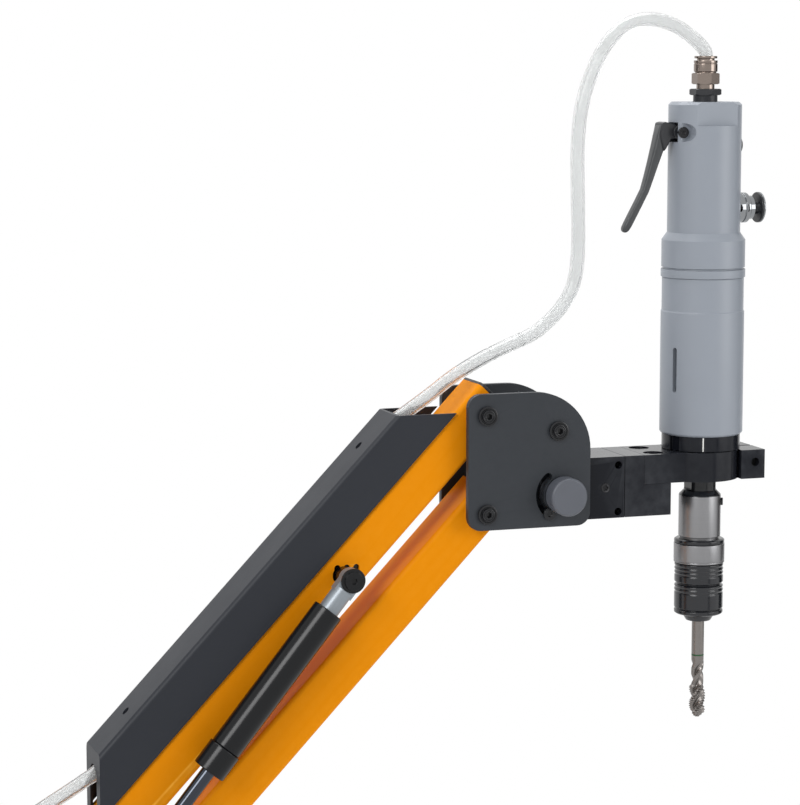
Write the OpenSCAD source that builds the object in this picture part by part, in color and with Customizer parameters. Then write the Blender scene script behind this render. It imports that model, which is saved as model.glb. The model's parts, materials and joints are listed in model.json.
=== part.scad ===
// Arm tapping machine: a bench column, a swing link and a sprung parallelogram arm
// that carries an air tapping motor, its quick-change chuck and a spiral-flute tap.
// The origin is the middle of the base plate's underside. +X points to the tool.

/* [Base and column] */
// Side of the square base plate
base_side = 160; // [140:1:240]
// Thickness of the base plate
base_t = 12; // [8:0.5:20]
// Corner radius of the base plate
base_corner_r = 14; // [4:1:30]
// Distance between the bench bolt holes, each way
base_pitch = 130; // [118:1:134]
// Diameter of a bench bolt hole
base_hole_d = 11; // [6:0.5:14]
// Diameter of the column's foot flange
flange_d = 112; // [96:1:118]
// Thickness of the foot flange
flange_t = 14; // [10:0.5:20]
// Diameter of the column
column_d = 60; // [50:1:70]
// Height of the column's top above the bench
column_top = 183.5; // [120:0.5:300]
// Circle that the column's foot screws lie on
column_screw_ring_d = 90; // [78:1:98]

/* [Swing link] */
// Distance between the column axis and the elbow axis
link_len = 260; // [200:1:400]
// Outer diameter of a swivel hub
hub_d = 70; // [60:1:80]
// Height of a swivel hub
hub_h = 50; // [40:1:80]
// Width of the link's beam
beam_w = 56; // [40:1:60]
// Height of the link's beam
beam_h = 40; // [30:1:40]
// Wall of the link's beam
beam_wall = 4; // [3:0.5:8]
// Diameter of the two swivel pins
swivel_pin_d = 30; // [24:1:36]
// Wall of a swivel bush
swivel_bush_wall = 4; // [3:0.5:6]
// Thickness of a thrust washer
washer_t = 1.5; // [1:0.1:3]

/* [Shoulder] */
// Distance from the elbow axis to the arm's rear pivots
shoulder_out = 67; // [60:1:90]
// Height of the upper arm's rear pivot above the bench
pivot_z = 362.2; // [350:0.1:420]
// Thickness of a rear plate and of a head plate
plate_t = 5; // [4:0.5:8]

/* [Parallelogram arm] */
// Distance between an arm's two pivots
arm_len = 400; // [380:1:500]
// Angle of the arm above level, as it stands
arm_tilt = 46.35; // [44:0.05:48]
// Distance between the upper and the lower pivot
pivot_gap = 69.1; // [67:0.1:75]
// Width of an arm's channel
arm_w = 38; // [34:0.5:42]
// Height of an arm's channel
arm_h = 30; // [26:0.5:31]
// Sheet thickness of an arm
arm_wall = 2.5; // [2:0.1:4]
// Outer radius of an arm's folded edges
arm_edge_r = 3.5; // [3:0.1:5]
// Length of an arm past each pivot
arm_past = 14.4; // [12:0.1:16]
// Diameter of an arm pivot pin
pin_d = 12; // [8:0.5:12]

/* [Hose cover] */
// Width of the cover over the upper arm
cover_w = 42; // [40:0.5:50]
// Height of the cover
cover_h = 31.7; // [26:0.1:45]
// Sheet thickness of the cover
cover_wall = 2; // [1.5:0.1:3]
// Where the cover's lower edge starts, from the rear pivot
cover_from = 17.1; // [12:0.1:30]
// Where the cover's lower edge ends, from the rear pivot
cover_to = 388; // [330:0.5:390]
// Diameter of a screw hole in the cover's top
cover_hole_d = 6; // [4:0.5:8]

/* [Gas spring] */
// Where the spring's upper pin stands, from the rear pivot
spring_at = 252; // [230:1:300]
// Clearance between the spring's eyes and a plate
spring_clear = 1.5; // [1:0.5:6]
// Depth of the spring's upper pin below the middle of the arm
spring_drop = 1.3; // [0:0.1:2]
// Diameter of the spring's cylinder
cyl_d = 22; // [18:0.5:24]
// Length of the spring's cylinder
cyl_len = 117; // [100:1:130]
// Diameter of the spring's rod
rod_d = 10; // [6:0.5:12]
// Diameter of the gland cap
gland_d = 24; // [22:0.5:26]
// Length of the gland cap
gland_len = 19; // [12:0.5:24]
// Width of the spring's eyes
eye_d = 16; // [14:0.5:18]
// Thickness of the spring's eyes
eye_t = 8; // [6:0.5:10]

/* [Head plates] */
// Length of a head plate
head_len = 91.5; // [88:0.5:110]
// Height of a head plate
head_ht = 95.85; // [92:0.05:110]
// Radius of the plate's large upper corner
head_big_r = 42; // [30:1:46]
// Radius of the plate's small corners
head_small_r = 9.5; // [6:0.5:12]
// Radius of the arc slot for the tilt stop
tilt_slot_r = 16.5; // [15:0.5:20]
// Width of the arc slot
tilt_slot_w = 6; // [5.4:0.1:8]
// Diameter of the tilt knob
knob_d = 27; // [24:0.5:30]
// Length of the tilt knob
knob_len = 15; // [10:0.5:20]

/* [Tool head] */
// Distance from the upper head pivot to the tapping axis
tool_out = 176.5; // [170:0.5:190]
// Depth of the clamp's top face below the upper head pivot
clamp_drop = 34.1; // [30:0.1:40]
// Width of the head's blocks
block_w = 46; // [40:0.5:56]
// Clearance between a head block and a plate
block_clear = 2.5; // [1:0.5:4]
// Height of the head's blocks
block_h = 44; // [40:0.5:48]
// Thickness of the motor clamp
clamp_t = 21; // [18:0.5:24]
// Outer diameter of the clamp's ring
clamp_ring_d = 60; // [58:0.5:64]
// Diameter of the motor's nose in the clamp
nose_d = 44; // [38:0.5:46]

/* [Air motor] */
// Diameter of the lower housing
motor_d = 60; // [56:0.5:66]
// Length of the lower housing
motor_low_len = 113.5; // [90:0.5:130]
// Length of the joint ring
ring_len = 7.2; // [5:0.1:10]
// Length of the upper housing's full-width foot
foot_len = 19.5; // [14:0.5:26]
// Diameter of the upper housing's grip
grip_d = 52.4; // [48:0.2:55]
// Length of the upper housing's grip
grip_len = 92.9; // [88:0.1:110]
// Distance across the wrench flats at the top
flats_w = 42; // [38:0.5:46]
// Diameter of the collar under the motor
collar_d = 56.6; // [52:0.2:58]
// Height of the collar under the motor
collar_h = 11.1; // [8:0.1:12]
// Outer diameter of the air hose
hose_d = 10; // [8:0.5:12]

/* [Chuck and tap] */
// Diameter of the chuck's steel body
chuck_d = 30.5; // [28:0.5:32]
// Length of the steel body below its chamfer
chuck_len = 30.3; // [24:0.1:40]
// Diameter of the size collar
size_collar_d = 36.9; // [35:0.1:40]
// Length of the size collar
size_collar_len = 17.7; // [12:0.1:24]
// Diameter of the quick-change sleeve
sleeve_d = 35.5; // [33:0.1:38]
// Length of the quick-change sleeve
sleeve_len = 38; // [30:0.5:46]
// Travel of the quick-change sleeve
sleeve_travel = 5; // [3:0.5:6]
// Thread diameter of the tap
tap_d = 12; // [6:0.5:12]
// Shank diameter of the tap
shank_d = 9; // [5:0.5:9]
// Length of the tap below the holder
tap_out = 72.6; // [50:0.1:90]
// Length of the tap's threaded part
thread_len = 22.5; // [16:0.5:30]

/* [Hidden] */

// Faces round a curve
$fn = 64;
SMALL_FN = 32;
// How far a cut runs past the face that it opens
over = 1;
// Radial clearance of a pin in its bore
fit = 0.05;
// Gap between faces that move past each other
run_gap = 0.3;
// Number of faces on a hexagon
HEX = 6;

// Places that the sizes above lead to
link_bottom = column_top + washer_t;
link_top = link_bottom + hub_h;
elbow_x = link_len;
pivot_x = elbow_x + shoulder_out;
lower_pivot_z = pivot_z - pivot_gap;
head_x = pivot_x + arm_len*cos(arm_tilt);
head_z = pivot_z + arm_len*sin(arm_tilt);
tool_x = head_x + tool_out;
clamp_top = head_z - clamp_drop;
clamp_bottom = clamp_top - clamp_t;
plate_gap = block_w + 2*block_clear;
plate_out = plate_gap/2 + plate_t;
spring_out = plate_out + spring_clear + eye_t/2;

// Screws of the plates: a flange, a raised button and a hexagon socket
screw_flange_d = 14;
screw_flange_h = 2.2;
screw_button_d = 9;
screw_button_h = 1.6;
screw_socket = 4;
screw_shank_d = 6;
screw_shank_l = 14;

// Cap screws of the column, the caps and the blocks
cap_head_d = 13;
cap_head_h = 8;
cap_socket = 6;
cap_shank_d = 8;
cap_shank_l = 20;

// Base
column_wall = 6;
column_head = 20;
cap_d = 52;
cap_t = 8;

// Shoulder block, from the elbow axis
shoulder_back = 35;
shoulder_front = 34;
shoulder_drop = 12;
shoulder_top = pivot_z - shoulder_drop;
turntable_d = 68;
turntable_h = 16;
shoulder_bottom = link_top + washer_t;
rear_corner_r = 11;
rear_round_r = 22;
rear_hub_r = 20;
shoulder_screw_rise = 22;
shoulder_screw_step = 34;

// Air inlet on the shoulder's rear face
inlet_w = 30;
inlet_h = 28;
inlet_deep = 30;
inlet_drop = 2;
inlet_screw_d = 10;
inlet_screw_h = 6;
inlet_screw_grip = 8;
port_d = 11.8;
port_len = 12;
fitting_hex = 17;
fitting_hex_l = 6;
fitting_body_d = 16;
fitting_body_l = 16;
fitting_nut_d = 14.5;
fitting_nut_l = 3;
fitting_bore_deep = 8;
fitting_thread_d = 12;
fitting_thread_l = 8;

// Bushes of the arm pivots
bush_wall = 2;
bush_flange_d = 22;
bush_in = 16;
bush_flange_t = plate_gap/2 - arm_w/2 - run_gap;

// End caps of the arms
arm_cap_t = 2;
arm_cap_plug = 6;
arm_cap_rim_t = 1.6;

// Cover
arch_w = 21;
arch_drop = 11;
arch_top = cover_h/cos(arm_tilt) - arch_drop;
post_d = 10;
post_hole_d = 4;
post_share = [0.18, 0.835];

// Gas spring
stud_d = 8;
stud_head_d = 17.3;
stud_head_h = 3.2;
stud_rim_h = 1.4;
stud_collar_d = 13;
stud_nut_l = 26;
stud_nut_w = 13;
stud_nut_t = 7;
eye_shank_d = 14.5;
eye_shank_to = 26;
cyl_end_t = 7;
cyl_wall = 2;
piston_len = 12;
piston_share = 0.8;
rod_eye_shank_d = 10.4;
rod_eye_shank_from = 6;
rod_eye_shank_to = 24;
eye_stub_d = 8;
eye_stub_l = 9;
rod_stub_d = 6;
NOTCHES = 3;
slot_first = -4.5;
slot_pitch = 6.8;
slot_notch_d = 4.4;
slot_notch_up = 5.2;
slot_h = 10.6;
slot_back = 7.9;
slot_fore = 11.6;
slot_end_r = 4.8;

spring_x = pivot_x + spring_at*cos(arm_tilt) + spring_drop*sin(arm_tilt);
spring_z = pivot_z + spring_at*sin(arm_tilt) - spring_drop*cos(arm_tilt);
spring_foot_z = pivot_z - pivot_gap/2;
spring_len = norm([spring_x - pivot_x, spring_z - spring_foot_z]);
spring_turn = 180 - atan2(spring_z - spring_foot_z, spring_x - pivot_x);
cyl_to = eye_shank_to + cyl_len;
gland_to = cyl_to + gland_len;

// Head plates, from the upper head pivot
head_back = 13.9;
head_up = 15.25;
spacer_x = 53;
spacer_z = -12.5;
spacer_d = 14;
tilt_x = 56.2;
tilt_z = -57.9;
tilt_from = 129;
tilt_to = 233;
tilt_pin_d = 12;
tilt_head_d = 18;
tilt_head_h = 4;
knob_stud_d = 8;
knob_stud_l = 10;
knob_rim = 1.2;
knob_neck_d = 20;
knob_neck_l = 2.6;

// Head blocks, from the tapping axis and the clamp's top
hinge_to = -69.5;
ledge_from = -54;
ledge_to = -33.2;
boss_d = 30;
stop_screw_d = 5;
stop_head_d = 8.7;
stop_head_h = 2.2;
stop_socket = 3.5;
stop_deep = 14;
side_hole_d = 5.5;
side_hole_deep = 8;
side_hole_in = 4.8;
side_hole_top = 6.1;
side_hole_low = 4.4;
side_screw_in = 14.7;
side_screw_d = 6.6;
side_screw_h = 3;
side_screw_sink = 2.4;

// Clamp, from the tapping axis
ring_off = -3;
lug_to = 40.5;
lug_slit = 2.4;
clamp_bolt_x = -43;
clamp_bolt_y = 13;
cbore_d = 14.6;
cbore_deep = 9;
pinch_x = 33;
pinch_up = 12;
pinch_d = 6;
pinch_head_d = 10;
pinch_head_h = 6;
pinch_socket = 5;

// Motor details
motor_edge = 1.5;
waist_h = 24;
waist_in = 0.6;
nose_up = clamp_t + collar_h;
joint_lip = 0.3;
joint_groove = 1.2;
joint_groove_h = 1.4;
grip_bevel = 5.4;
grip_edge = 2;
flats_h = 16.7;
vent_up = 31.4;
vent_h = 32.5;
vent_w = 3.4;
vent_deep = 3;
vent_turn = 64.7;
notch_turn = 66.7;
notch_w = 9;
notch_deep = 3;
line_turn = 21;
line_w = 1.3;
line_deep = 0.6;
lever_x = -22.6;
lever_down = 21.4;
lever_w = 16;
lever_tip_w = 8;
lever_hub_d = 10;
lever_pocket_d = 14;
lever_pin_d = 4.5;
lever_pin_half = 12.2;
lever_pin_head_d = 8;
lever_pin_head_h = 1.6;
lever_pin_socket = 3;
// Lever outline from its pin, as shares of its reach down
lever_reach = 71;
lever_shares = [[0, -0.062], [-0.05, -0.062], [-0.148, -0.159], [-0.307, -0.599],
    [-0.521, -1], [-0.575, -1.01], [-0.599, -0.985], [-0.366, -0.563], [-0.205, 0.06],
    [-0.19, 0.095], [-0.15, 0.105], [0, 0.066]];
button_up = 16.8;
neck_d = 21.8;
neck_from = 20;
neck_to = 37;
stem_d = 10;
stem_in = 12;
button_travel = 4;
button_d = 22;
button_t = 3;
plug_down = 31.1;
plug_d = 11;
plug_out = 2.5;
plug_deep = 4;
bushing_d = 17.4;
bushing_h = 4.7;
bushing_hex = 19.8;
bushing_hex_h = 4.5;
air_neck_d = 13;
air_neck_h = 3.2;
air_hex = 17.3;
air_hex_h = 8;
air_body_d = 17.1;
air_body_h = 9.1;
air_ring_d = 16.4;
air_ring_h = 2.9;
air_ring_travel = 1.2;
collet_d = 12.6;
collet_l = 4;

// Motor levels above the clamp's top
low_from = collar_h;
ring_from = low_from + motor_low_len;
foot_from = ring_from + ring_len;
grip_from = foot_from + foot_len + grip_bevel;
motor_top = grip_from + grip_len;
button_z = grip_from + button_up;
lever_z = motor_top - lever_down;
air_from = motor_top + bushing_h + bushing_hex_h;
air_top = air_from + air_neck_h + air_hex_h + air_body_h;

// Chuck details and levels below the clamp's underside
spindle_d = 23.3;
spindle_len = 9.4;
spindle_shaft_d = 12;
spindle_shaft_l = 20;
spindle_flat = 2;
chuck_bevel = 3.7;
chuck_bevel_d = 24;
core_d = 26;
core_gap = 1.5;
core_gap_d = 28;
core_past = 1;
sleeve_groove = 0.9;
sleeve_groove_h = 1.2;
sleeve_main_groove = 1.6;
sleeve_groove_shares = [0.13, 0.25, 0.6, 0.72];
sleeve_main_share = 0.46;
sleeve_lip_share = 0.94;
holder_d = 19;
holder_len = 26;
holder_nut_d = 23;
holder_foot_d = 18;
holder_nut_h = 5.2;
set_screw_d = 5.5;
set_screw_out = 1.5;
set_screw_in = 5;
set_screw_down = 5;
set_screw_turn = -24.8;
tap_in = 20;
flute_len = 20;
tap_tip = 4;
FLUTES = 3;
TAP_SLICES = 24;
// One land and one flute of the tap: shares of the radius and of half a flute's angle
tap_shares = [[1, -0.24], [1, 0], [1, 0.24], [0.7, 0.75], [0.42, 1], [0.62, 1.4]];
// Turn of the flutes for each diameter of length, in degrees
flute_turn = 118;

chuck_from = -clamp_t - run_gap - spindle_len;
body_from = chuck_from - chuck_bevel;
size_from = body_from - chuck_len - core_gap;
sleeve_from = size_from - size_collar_len;
nut_from = sleeve_from - sleeve_len;
tap_from = nut_from - holder_nut_h;

// Hose: 8 to 12 sides, and a route through points in the part's frame
HOSE_SIDES = 10;
INLET_ROUTE = [[205, 0, 305.9], [205, 0, 296], [204, 0, 282], [197, 0, 262], [182, 0, 249],
    [163, 0, 246], [144, 0, 254], [131, 0, 274], [130, 0, 299], [140, 0, 323],
    [159, 0, 342], [184, 0, 355], [211, 0, 363], [238, 0, 369], [262, 0, 377],
    [284, 0, 387], [300, 0, 396], [314, 0, 404], [324, 0, 410]];
RUN_ROUTE = [[324, 0, 410], [329, 0, 413], [343, 5, 424], [358, 11, 438], [375, 11, 455], [410, 11, 490],
    [458, 11, 541], [503, 11, 595], [522, 11, 621], [534, 8, 635], [543, 2, 645],
    [551, 0, 651], [557, 0, 655]];
LIFT_ROUTE = [[557, 0, 655], [572, 0, 665], [589, 0, 677], [609, 0, 688], [625, 0, 695],
    [635, 0, 699], [640, 0, 701]];
ARCH_ROUTE = [[640, 0, 701], [645, 0, 703], [655, 0, 709], [669, 0, 722], [679, 0, 739], [682.5, 0, 763],
    [682, 0, 799], [681.5, 0, 834], [684, 0, 862], [691, 0, 886], [702, 0, 907],
    [717, 0, 921], [736, 0, 926], [755, 0, 921], [769, 0, 912.5], [777.4, 0, 905],
    [779.6, 0, 899], [779.6, 0, 883.9]];

STEEL = "#9a9da0";
BLACK = "#26282b";
ORANGE = "#f29400";
SILVER = "#a3abb4";
BRONZE = "#b08d57";
NICKEL = "#b9ac97";
CLEAR = "#d9dedd";

// Frames

module arm_frame(z) {
    translate([pivot_x, 0, z])
        rotate([0, -arm_tilt, 0])
            children();
}

module spring_frame() {
    translate([spring_x, -spring_out, spring_z])
        rotate([0, spring_turn, 0])
            children();
}

module head_frame() {
    translate([head_x, 0, head_z])
        children();
}

module tool_frame() {
    translate([tool_x, 0, clamp_top])
        children();
}

// Turns what stands along Z to face along Y: -1 is the front, 1 is the back
module face_y(side) {
    rotate([-90*side, 0, 0])
        children();
}

// Stretches an X-Y outline along Y, as an X-Z outline
module side_profile(w) {
    rotate([90, 0, 0])
        linear_extrude(w, center = true)
            children();
}

// Stretches a Y-Z outline along X
module bar(len) {
    rotate([90, 0, 90])
        linear_extrude(len)
            children();
}

module y_rod(d, half) {
    rotate([90, 0, 0])
        cylinder(d = d, h = 2*half, center = true);
}

module x_rod(d, from, to) {
    translate([from, 0, 0])
        rotate([0, 90, 0])
            cylinder(d = d, h = to - from);
}

module round_rect(w, h, r) {
    square([w - 2*r, h], center = true);
    square([w, h - 2*r], center = true);
    for (x = [-1, 1], y = [-1, 1])
        translate([x*(w/2 - r), y*(h/2 - r)])
            circle(r);
}

// Fasteners, standing along Z with the seat at 0

module plate_screw() {
    difference() {
        union() {
            cylinder(d = screw_flange_d, h = screw_flange_h);
            cylinder(d = screw_button_d, h = screw_flange_h + screw_button_h);
            translate([0, 0, -screw_shank_l])
                cylinder(d = screw_shank_d, h = screw_shank_l, $fn = SMALL_FN);
        }
        translate([0, 0, screw_flange_h])
            cylinder(d = screw_socket/cos(180/HEX), h = screw_button_h + over, $fn = HEX);
    }
}

module cap_screw(d, h, socket, shank_d, shank_l) {
    difference() {
        union() {
            cylinder(d = d, h = h, $fn = SMALL_FN);
            translate([0, 0, -shank_l])
                cylinder(d = shank_d, h = shank_l, $fn = SMALL_FN);
        }
        translate([0, 0, h/2])
            cylinder(d = socket/cos(180/HEX), h = h, $fn = HEX);
    }
}

module m8_screw() {
    cap_screw(cap_head_d, cap_head_h, cap_socket, cap_shank_d, cap_shank_l);
}

// Base and column

module base_holes(d, pitch) {
    for (x = [-1, 1], y = [-1, 1])
        translate([x*pitch/2, y*pitch/2, -over])
            cylinder(d = d, h = base_t + 2*over);
}

module base_plate() {
    color(BLACK)
        difference() {
            linear_extrude(base_t)
                round_rect(base_side, base_side, base_corner_r);
            base_holes(base_hole_d, base_pitch);
            at_column_screws()
                translate([0, 0, flange_t - cap_shank_l - over])
                    cylinder(d = cap_shank_d + 2*fit, h = cap_shank_l, $fn = SMALL_FN);
        }
}

module at_column_screws() {
    for (a = [0:90:270])
        rotate([0, 0, a])
            translate([column_screw_ring_d/2, 0, base_t])
                children();
}

module column() {
    color(BLACK)
        difference() {
            union() {
                translate([0, 0, base_t])
                    cylinder(d = flange_d, h = flange_t);
                translate([0, 0, base_t])
                    cylinder(d = column_d, h = column_top - base_t);
                translate([0, 0, column_top - over])
                    cylinder(d = swivel_pin_d, h = hub_h + washer_t + run_gap + over);
            }
            translate([0, 0, base_t - over])
                cylinder(d = column_d - 2*column_wall,
                    h = column_top - base_t - column_head + over);
            at_column_screws()
                translate([0, 0, -over])
                    cylinder(d = cap_shank_d + 2*fit, h = flange_t + 2*over, $fn = SMALL_FN);
            translate([0, 0, link_top - cap_shank_l])
                cylinder(d = cap_shank_d + 2*fit, h = cap_shank_l + over, $fn = SMALL_FN);
        }
}

module column_screws() {
    color(STEEL)
        at_column_screws()
            translate([0, 0, flange_t])
                cap_screw(cap_head_d, cap_head_h, cap_socket, cap_shank_d, cap_shank_l);
}

// A disc with its own cap screw, which holds a swivel pin in its hub
module swivel_cap() {
    cylinder(d = cap_d, h = cap_t);
    translate([0, 0, cap_t])
        m8_screw();
}

module column_cap() {
    color(BLACK)
        translate([0, 0, link_top + run_gap])
            swivel_cap();
}

// Swing link

module swing_link() {
    bore = swivel_pin_d + 2*swivel_bush_wall;
    color(ORANGE)
        difference() {
            union() {
                for (x = [0, elbow_x])
                    translate([x, 0, link_bottom])
                        cylinder(d = hub_d, h = hub_h);
                translate([0, 0, link_bottom + hub_h/2])
                    bar(elbow_x)
                        round_rect(beam_w, beam_h, arm_edge_r);
            }
            translate([hub_d/2, -beam_w/2 + beam_wall, link_bottom])
                cube([elbow_x - hub_d, beam_w - 2*beam_wall, hub_h/2 + beam_h/2 - beam_wall]);
            for (x = [0, elbow_x])
                translate([x, 0, link_bottom - over])
                    cylinder(d = bore + 2*fit, h = hub_h + 2*over);
        }
}

// Two bushes in each hub, and the thrust washer under it or over it
module swivel_bushes() {
    outer = swivel_pin_d + 2*swivel_bush_wall;
    tall = hub_h*2/5;
    color(BRONZE)
        for (x = [0, elbow_x], z = [link_bottom, link_top - tall])
            translate([x, 0, z])
                swivel_ring(outer, tall);
    color(BRONZE)
        for (place = [[0, column_top], [elbow_x, link_top]])
            translate([place[0], 0, place[1]])
                swivel_ring(column_d, washer_t);
}

module swivel_ring(d, h) {
    difference() {
        cylinder(d = d, h = h);
        translate([0, 0, -over])
            cylinder(d = swivel_pin_d + 2*fit, h = h + 2*over);
    }
}

// Shoulder

module at_shoulder_screws(side) {
    for (x = [0, 1], z = [0, 1])
        translate([elbow_x - shoulder_screw_step/2 + x*shoulder_screw_step,
            side*plate_out, shoulder_bottom + turntable_h + shoulder_screw_rise
            + z*shoulder_screw_step])
            face_y(side)
                children();
}

module shoulder_block() {
    low = shoulder_bottom + turntable_h;
    color(BLACK)
        difference() {
            union() {
                translate([elbow_x, 0, shoulder_bottom])
                    cylinder(d = turntable_d, h = turntable_h);
                translate([elbow_x, 0, link_bottom - run_gap])
                    cylinder(d = swivel_pin_d, h = hub_h + washer_t + run_gap + over);
                translate([elbow_x - shoulder_back, -plate_gap/2, low])
                    cube([shoulder_back + shoulder_front, plate_gap, shoulder_top - low]);
            }
            for (side = [-1, 1])
                at_shoulder_screws(side)
                    translate([0, 0, -screw_shank_l - over])
                        cylinder(d = screw_shank_d + 2*fit, h = screw_shank_l, $fn = SMALL_FN);
            translate([elbow_x, 0, link_bottom - cap_t])
                cylinder(d = cap_shank_d + 2*fit, h = cap_shank_l + cap_t, $fn = SMALL_FN);
            at_inlet_screws()
                translate([0, 0, -inlet_deep - inlet_screw_grip - over])
                    cylinder(d = screw_shank_d + 2*fit, h = inlet_screw_grip + 2*over,
                        $fn = SMALL_FN);
        }
}

module elbow_cap() {
    color(BLACK)
        translate([elbow_x, 0, link_bottom - run_gap])
            mirror([0, 0, 1])
                swivel_cap();
}

module rear_plate(side) {
    low = shoulder_bottom + turntable_h;
    color(BLACK)
        difference() {
            translate([0, side*(plate_gap/2 + plate_t/2), 0])
                side_profile(plate_t)
                    hull() {
                        translate([elbow_x - shoulder_back + rear_corner_r, low + rear_corner_r])
                            circle(rear_corner_r, $fn = SMALL_FN);
                        translate([elbow_x - shoulder_back + rear_round_r,
                            shoulder_top - rear_round_r])
                            circle(rear_round_r, $fn = SMALL_FN);
                        translate([pivot_x, pivot_z])
                            circle(rear_hub_r, $fn = SMALL_FN);
                        translate([pivot_x, lower_pivot_z])
                            circle(rear_hub_r, $fn = SMALL_FN);
                    }
            for (z = [pivot_z, lower_pivot_z])
                translate([pivot_x, 0, z])
                    y_rod(pin_d + 2*fit, plate_out + over);
            at_shoulder_screws(side)
                translate([0, 0, -screw_shank_l])
                    cylinder(d = screw_shank_d + 2*fit, h = screw_shank_l + over, $fn = SMALL_FN);
        }
}

module rear_plate_front() {
    rear_plate(-1);
}

module rear_plate_back() {
    rear_plate(1);
}

// A pin that ends flush with its plates and is tapped for a screw at each end
module pivot_pin() {
    difference() {
        y_rod(pin_d, plate_out);
        for (side = [-1, 1])
            translate([0, side*plate_out, 0])
                face_y(side)
                    translate([0, 0, -screw_shank_l - over])
                        cylinder(d = screw_shank_d + 2*fit, h = screw_shank_l + 2*over,
                            $fn = SMALL_FN);
    }
}

module rear_pins() {
    color(STEEL)
        for (z = [pivot_z, lower_pivot_z])
            translate([pivot_x, 0, z])
                pivot_pin();
}

inlet_x = elbow_x - shoulder_back - inlet_deep;
inlet_z = shoulder_top - inlet_drop - inlet_h;
inlet_mouth_x = inlet_x + inlet_deep/3;
inlet_port_x = inlet_x + inlet_deep*2/3;
inlet_port_z = inlet_z + inlet_h*3/5;

module at_inlet_screws() {
    for (share = [1/4, 3/4])
        translate([inlet_x, -inlet_w/3, inlet_z + share*inlet_h])
            rotate([0, -90, 0])
                children();
}

module shoulder_screws() {
    color(BLACK)
        for (side = [-1, 1]) {
            at_shoulder_screws(side)
                plate_screw();
            for (z = [pivot_z, lower_pivot_z])
                translate([pivot_x, side*plate_out, z])
                    face_y(side)
                        plate_screw();
        }
    color(STEEL)
        at_inlet_screws()
            cap_screw(inlet_screw_d, inlet_screw_h, screw_socket, screw_shank_d,
                inlet_deep + inlet_screw_grip);
}

// The threaded mouth for the air supply is in the block's back face
module inlet_block() {
    color(SILVER)
        difference() {
            translate([inlet_x, -inlet_w/2, inlet_z])
                cube([inlet_deep, inlet_w, inlet_h]);
            at_inlet_screws()
                translate([0, 0, -inlet_deep - over])
                    cylinder(d = screw_shank_d + 2*fit, h = inlet_deep + 2*over,
                        $fn = SMALL_FN);
            translate([inlet_mouth_x, 0, inlet_z - over])
                cylinder(d = fitting_thread_d + 2*fit, h = fitting_thread_l + 2*over);
            translate([inlet_port_x, inlet_w/2, inlet_port_z])
                face_y(1)
                    translate([0, 0, -port_len])
                        cylinder(d = port_d, h = port_len + over);
        }
}

// A fitting with its mouth along +Z, from its hexagon's seat
module hose_fitting(hex, hex_l, body_d, body_l, bore_d, bore_deep) {
    difference() {
        union() {
            cylinder(d = hex/cos(180/HEX), h = hex_l, $fn = HEX);
            cylinder(d = body_d, h = hex_l + body_l);
        }
        translate([0, 0, hex_l + body_l - bore_deep])
            cylinder(d = bore_d, h = bore_deep + over);
    }
}

// The shoulder's fitting grips its hose with a nut
module inlet_fitting() {
    color(NICKEL)
        translate([inlet_mouth_x, 0, inlet_z])
            mirror([0, 0, 1])
                union() {
                    hose_fitting(fitting_hex, fitting_hex_l, fitting_body_d, fitting_body_l,
                        hose_d + 2*run_gap, fitting_bore_deep);
                    translate([0, 0, fitting_hex_l + fitting_body_l])
                        difference() {
                            cylinder(d = fitting_nut_d, h = fitting_nut_l);
                            translate([0, 0, -over])
                                cylinder(d = hose_d + 2*run_gap, h = fitting_nut_l + 2*over);
                        }
                    translate([0, 0, -fitting_thread_l])
                        cylinder(d = fitting_thread_d, h = fitting_thread_l);
                }
}

// Arms

// The slot of the spring's stud lies level as the arm stands, with its notches up
module stud_slot() {
    rotate([0, arm_tilt, 0])
        translate([0, -arm_w/2, 0])
            side_profile(4*arm_wall)
                union() {
                    translate([(slot_fore - slot_back)/2, 0])
                        round_rect(slot_fore + slot_back, slot_h, slot_end_r);
                    for (i = [0:NOTCHES - 1])
                        translate([slot_first + i*slot_pitch, 0])
                            union() {
                                translate([-slot_notch_d/2, 0])
                                    square([slot_notch_d, slot_notch_up]);
                                translate([0, slot_notch_up])
                                    circle(d = slot_notch_d, $fn = SMALL_FN);
                            }
                }
}

module arm_tube() {
    difference() {
        translate([-arm_past, 0, 0])
            bar(arm_len + 2*arm_past)
                difference() {
                    round_rect(arm_w, arm_h, arm_edge_r);
                    round_rect(arm_w - 2*arm_wall, arm_h - 2*arm_wall, arm_edge_r - arm_wall);
                }
        for (x = [0, arm_len])
            translate([x, 0, 0])
                y_rod(pin_d + 2*bush_wall + 4*fit, arm_w/2 + over);
    }
}

module upper_arm() {
    color(ORANGE)
        arm_frame(pivot_z)
            difference() {
                arm_tube();
                translate([spring_at, 0, -spring_drop])
                    stud_slot();
            }
}

module lower_arm() {
    color(ORANGE)
        arm_frame(lower_pivot_z)
            arm_tube();
}

module arm_bushes() {
    for (x = [0, arm_len], side = [-1, 1])
        translate([x, side*arm_w/2, 0])
            face_y(side)
                difference() {
                    union() {
                        cylinder(d = bush_flange_d, h = bush_flange_t);
                        translate([0, 0, -bush_in])
                            cylinder(d = pin_d + 2*bush_wall + 2*fit, h = bush_in);
                    }
                    translate([0, 0, -bush_in - over])
                        cylinder(d = pin_d + 2*fit, h = bush_in + bush_flange_t + 2*over);
                }
}

module upper_arm_bushes() {
    color(BRONZE)
        arm_frame(pivot_z)
            arm_bushes();
}

module lower_arm_bushes() {
    color(BRONZE)
        arm_frame(lower_pivot_z)
            arm_bushes();
}

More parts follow.
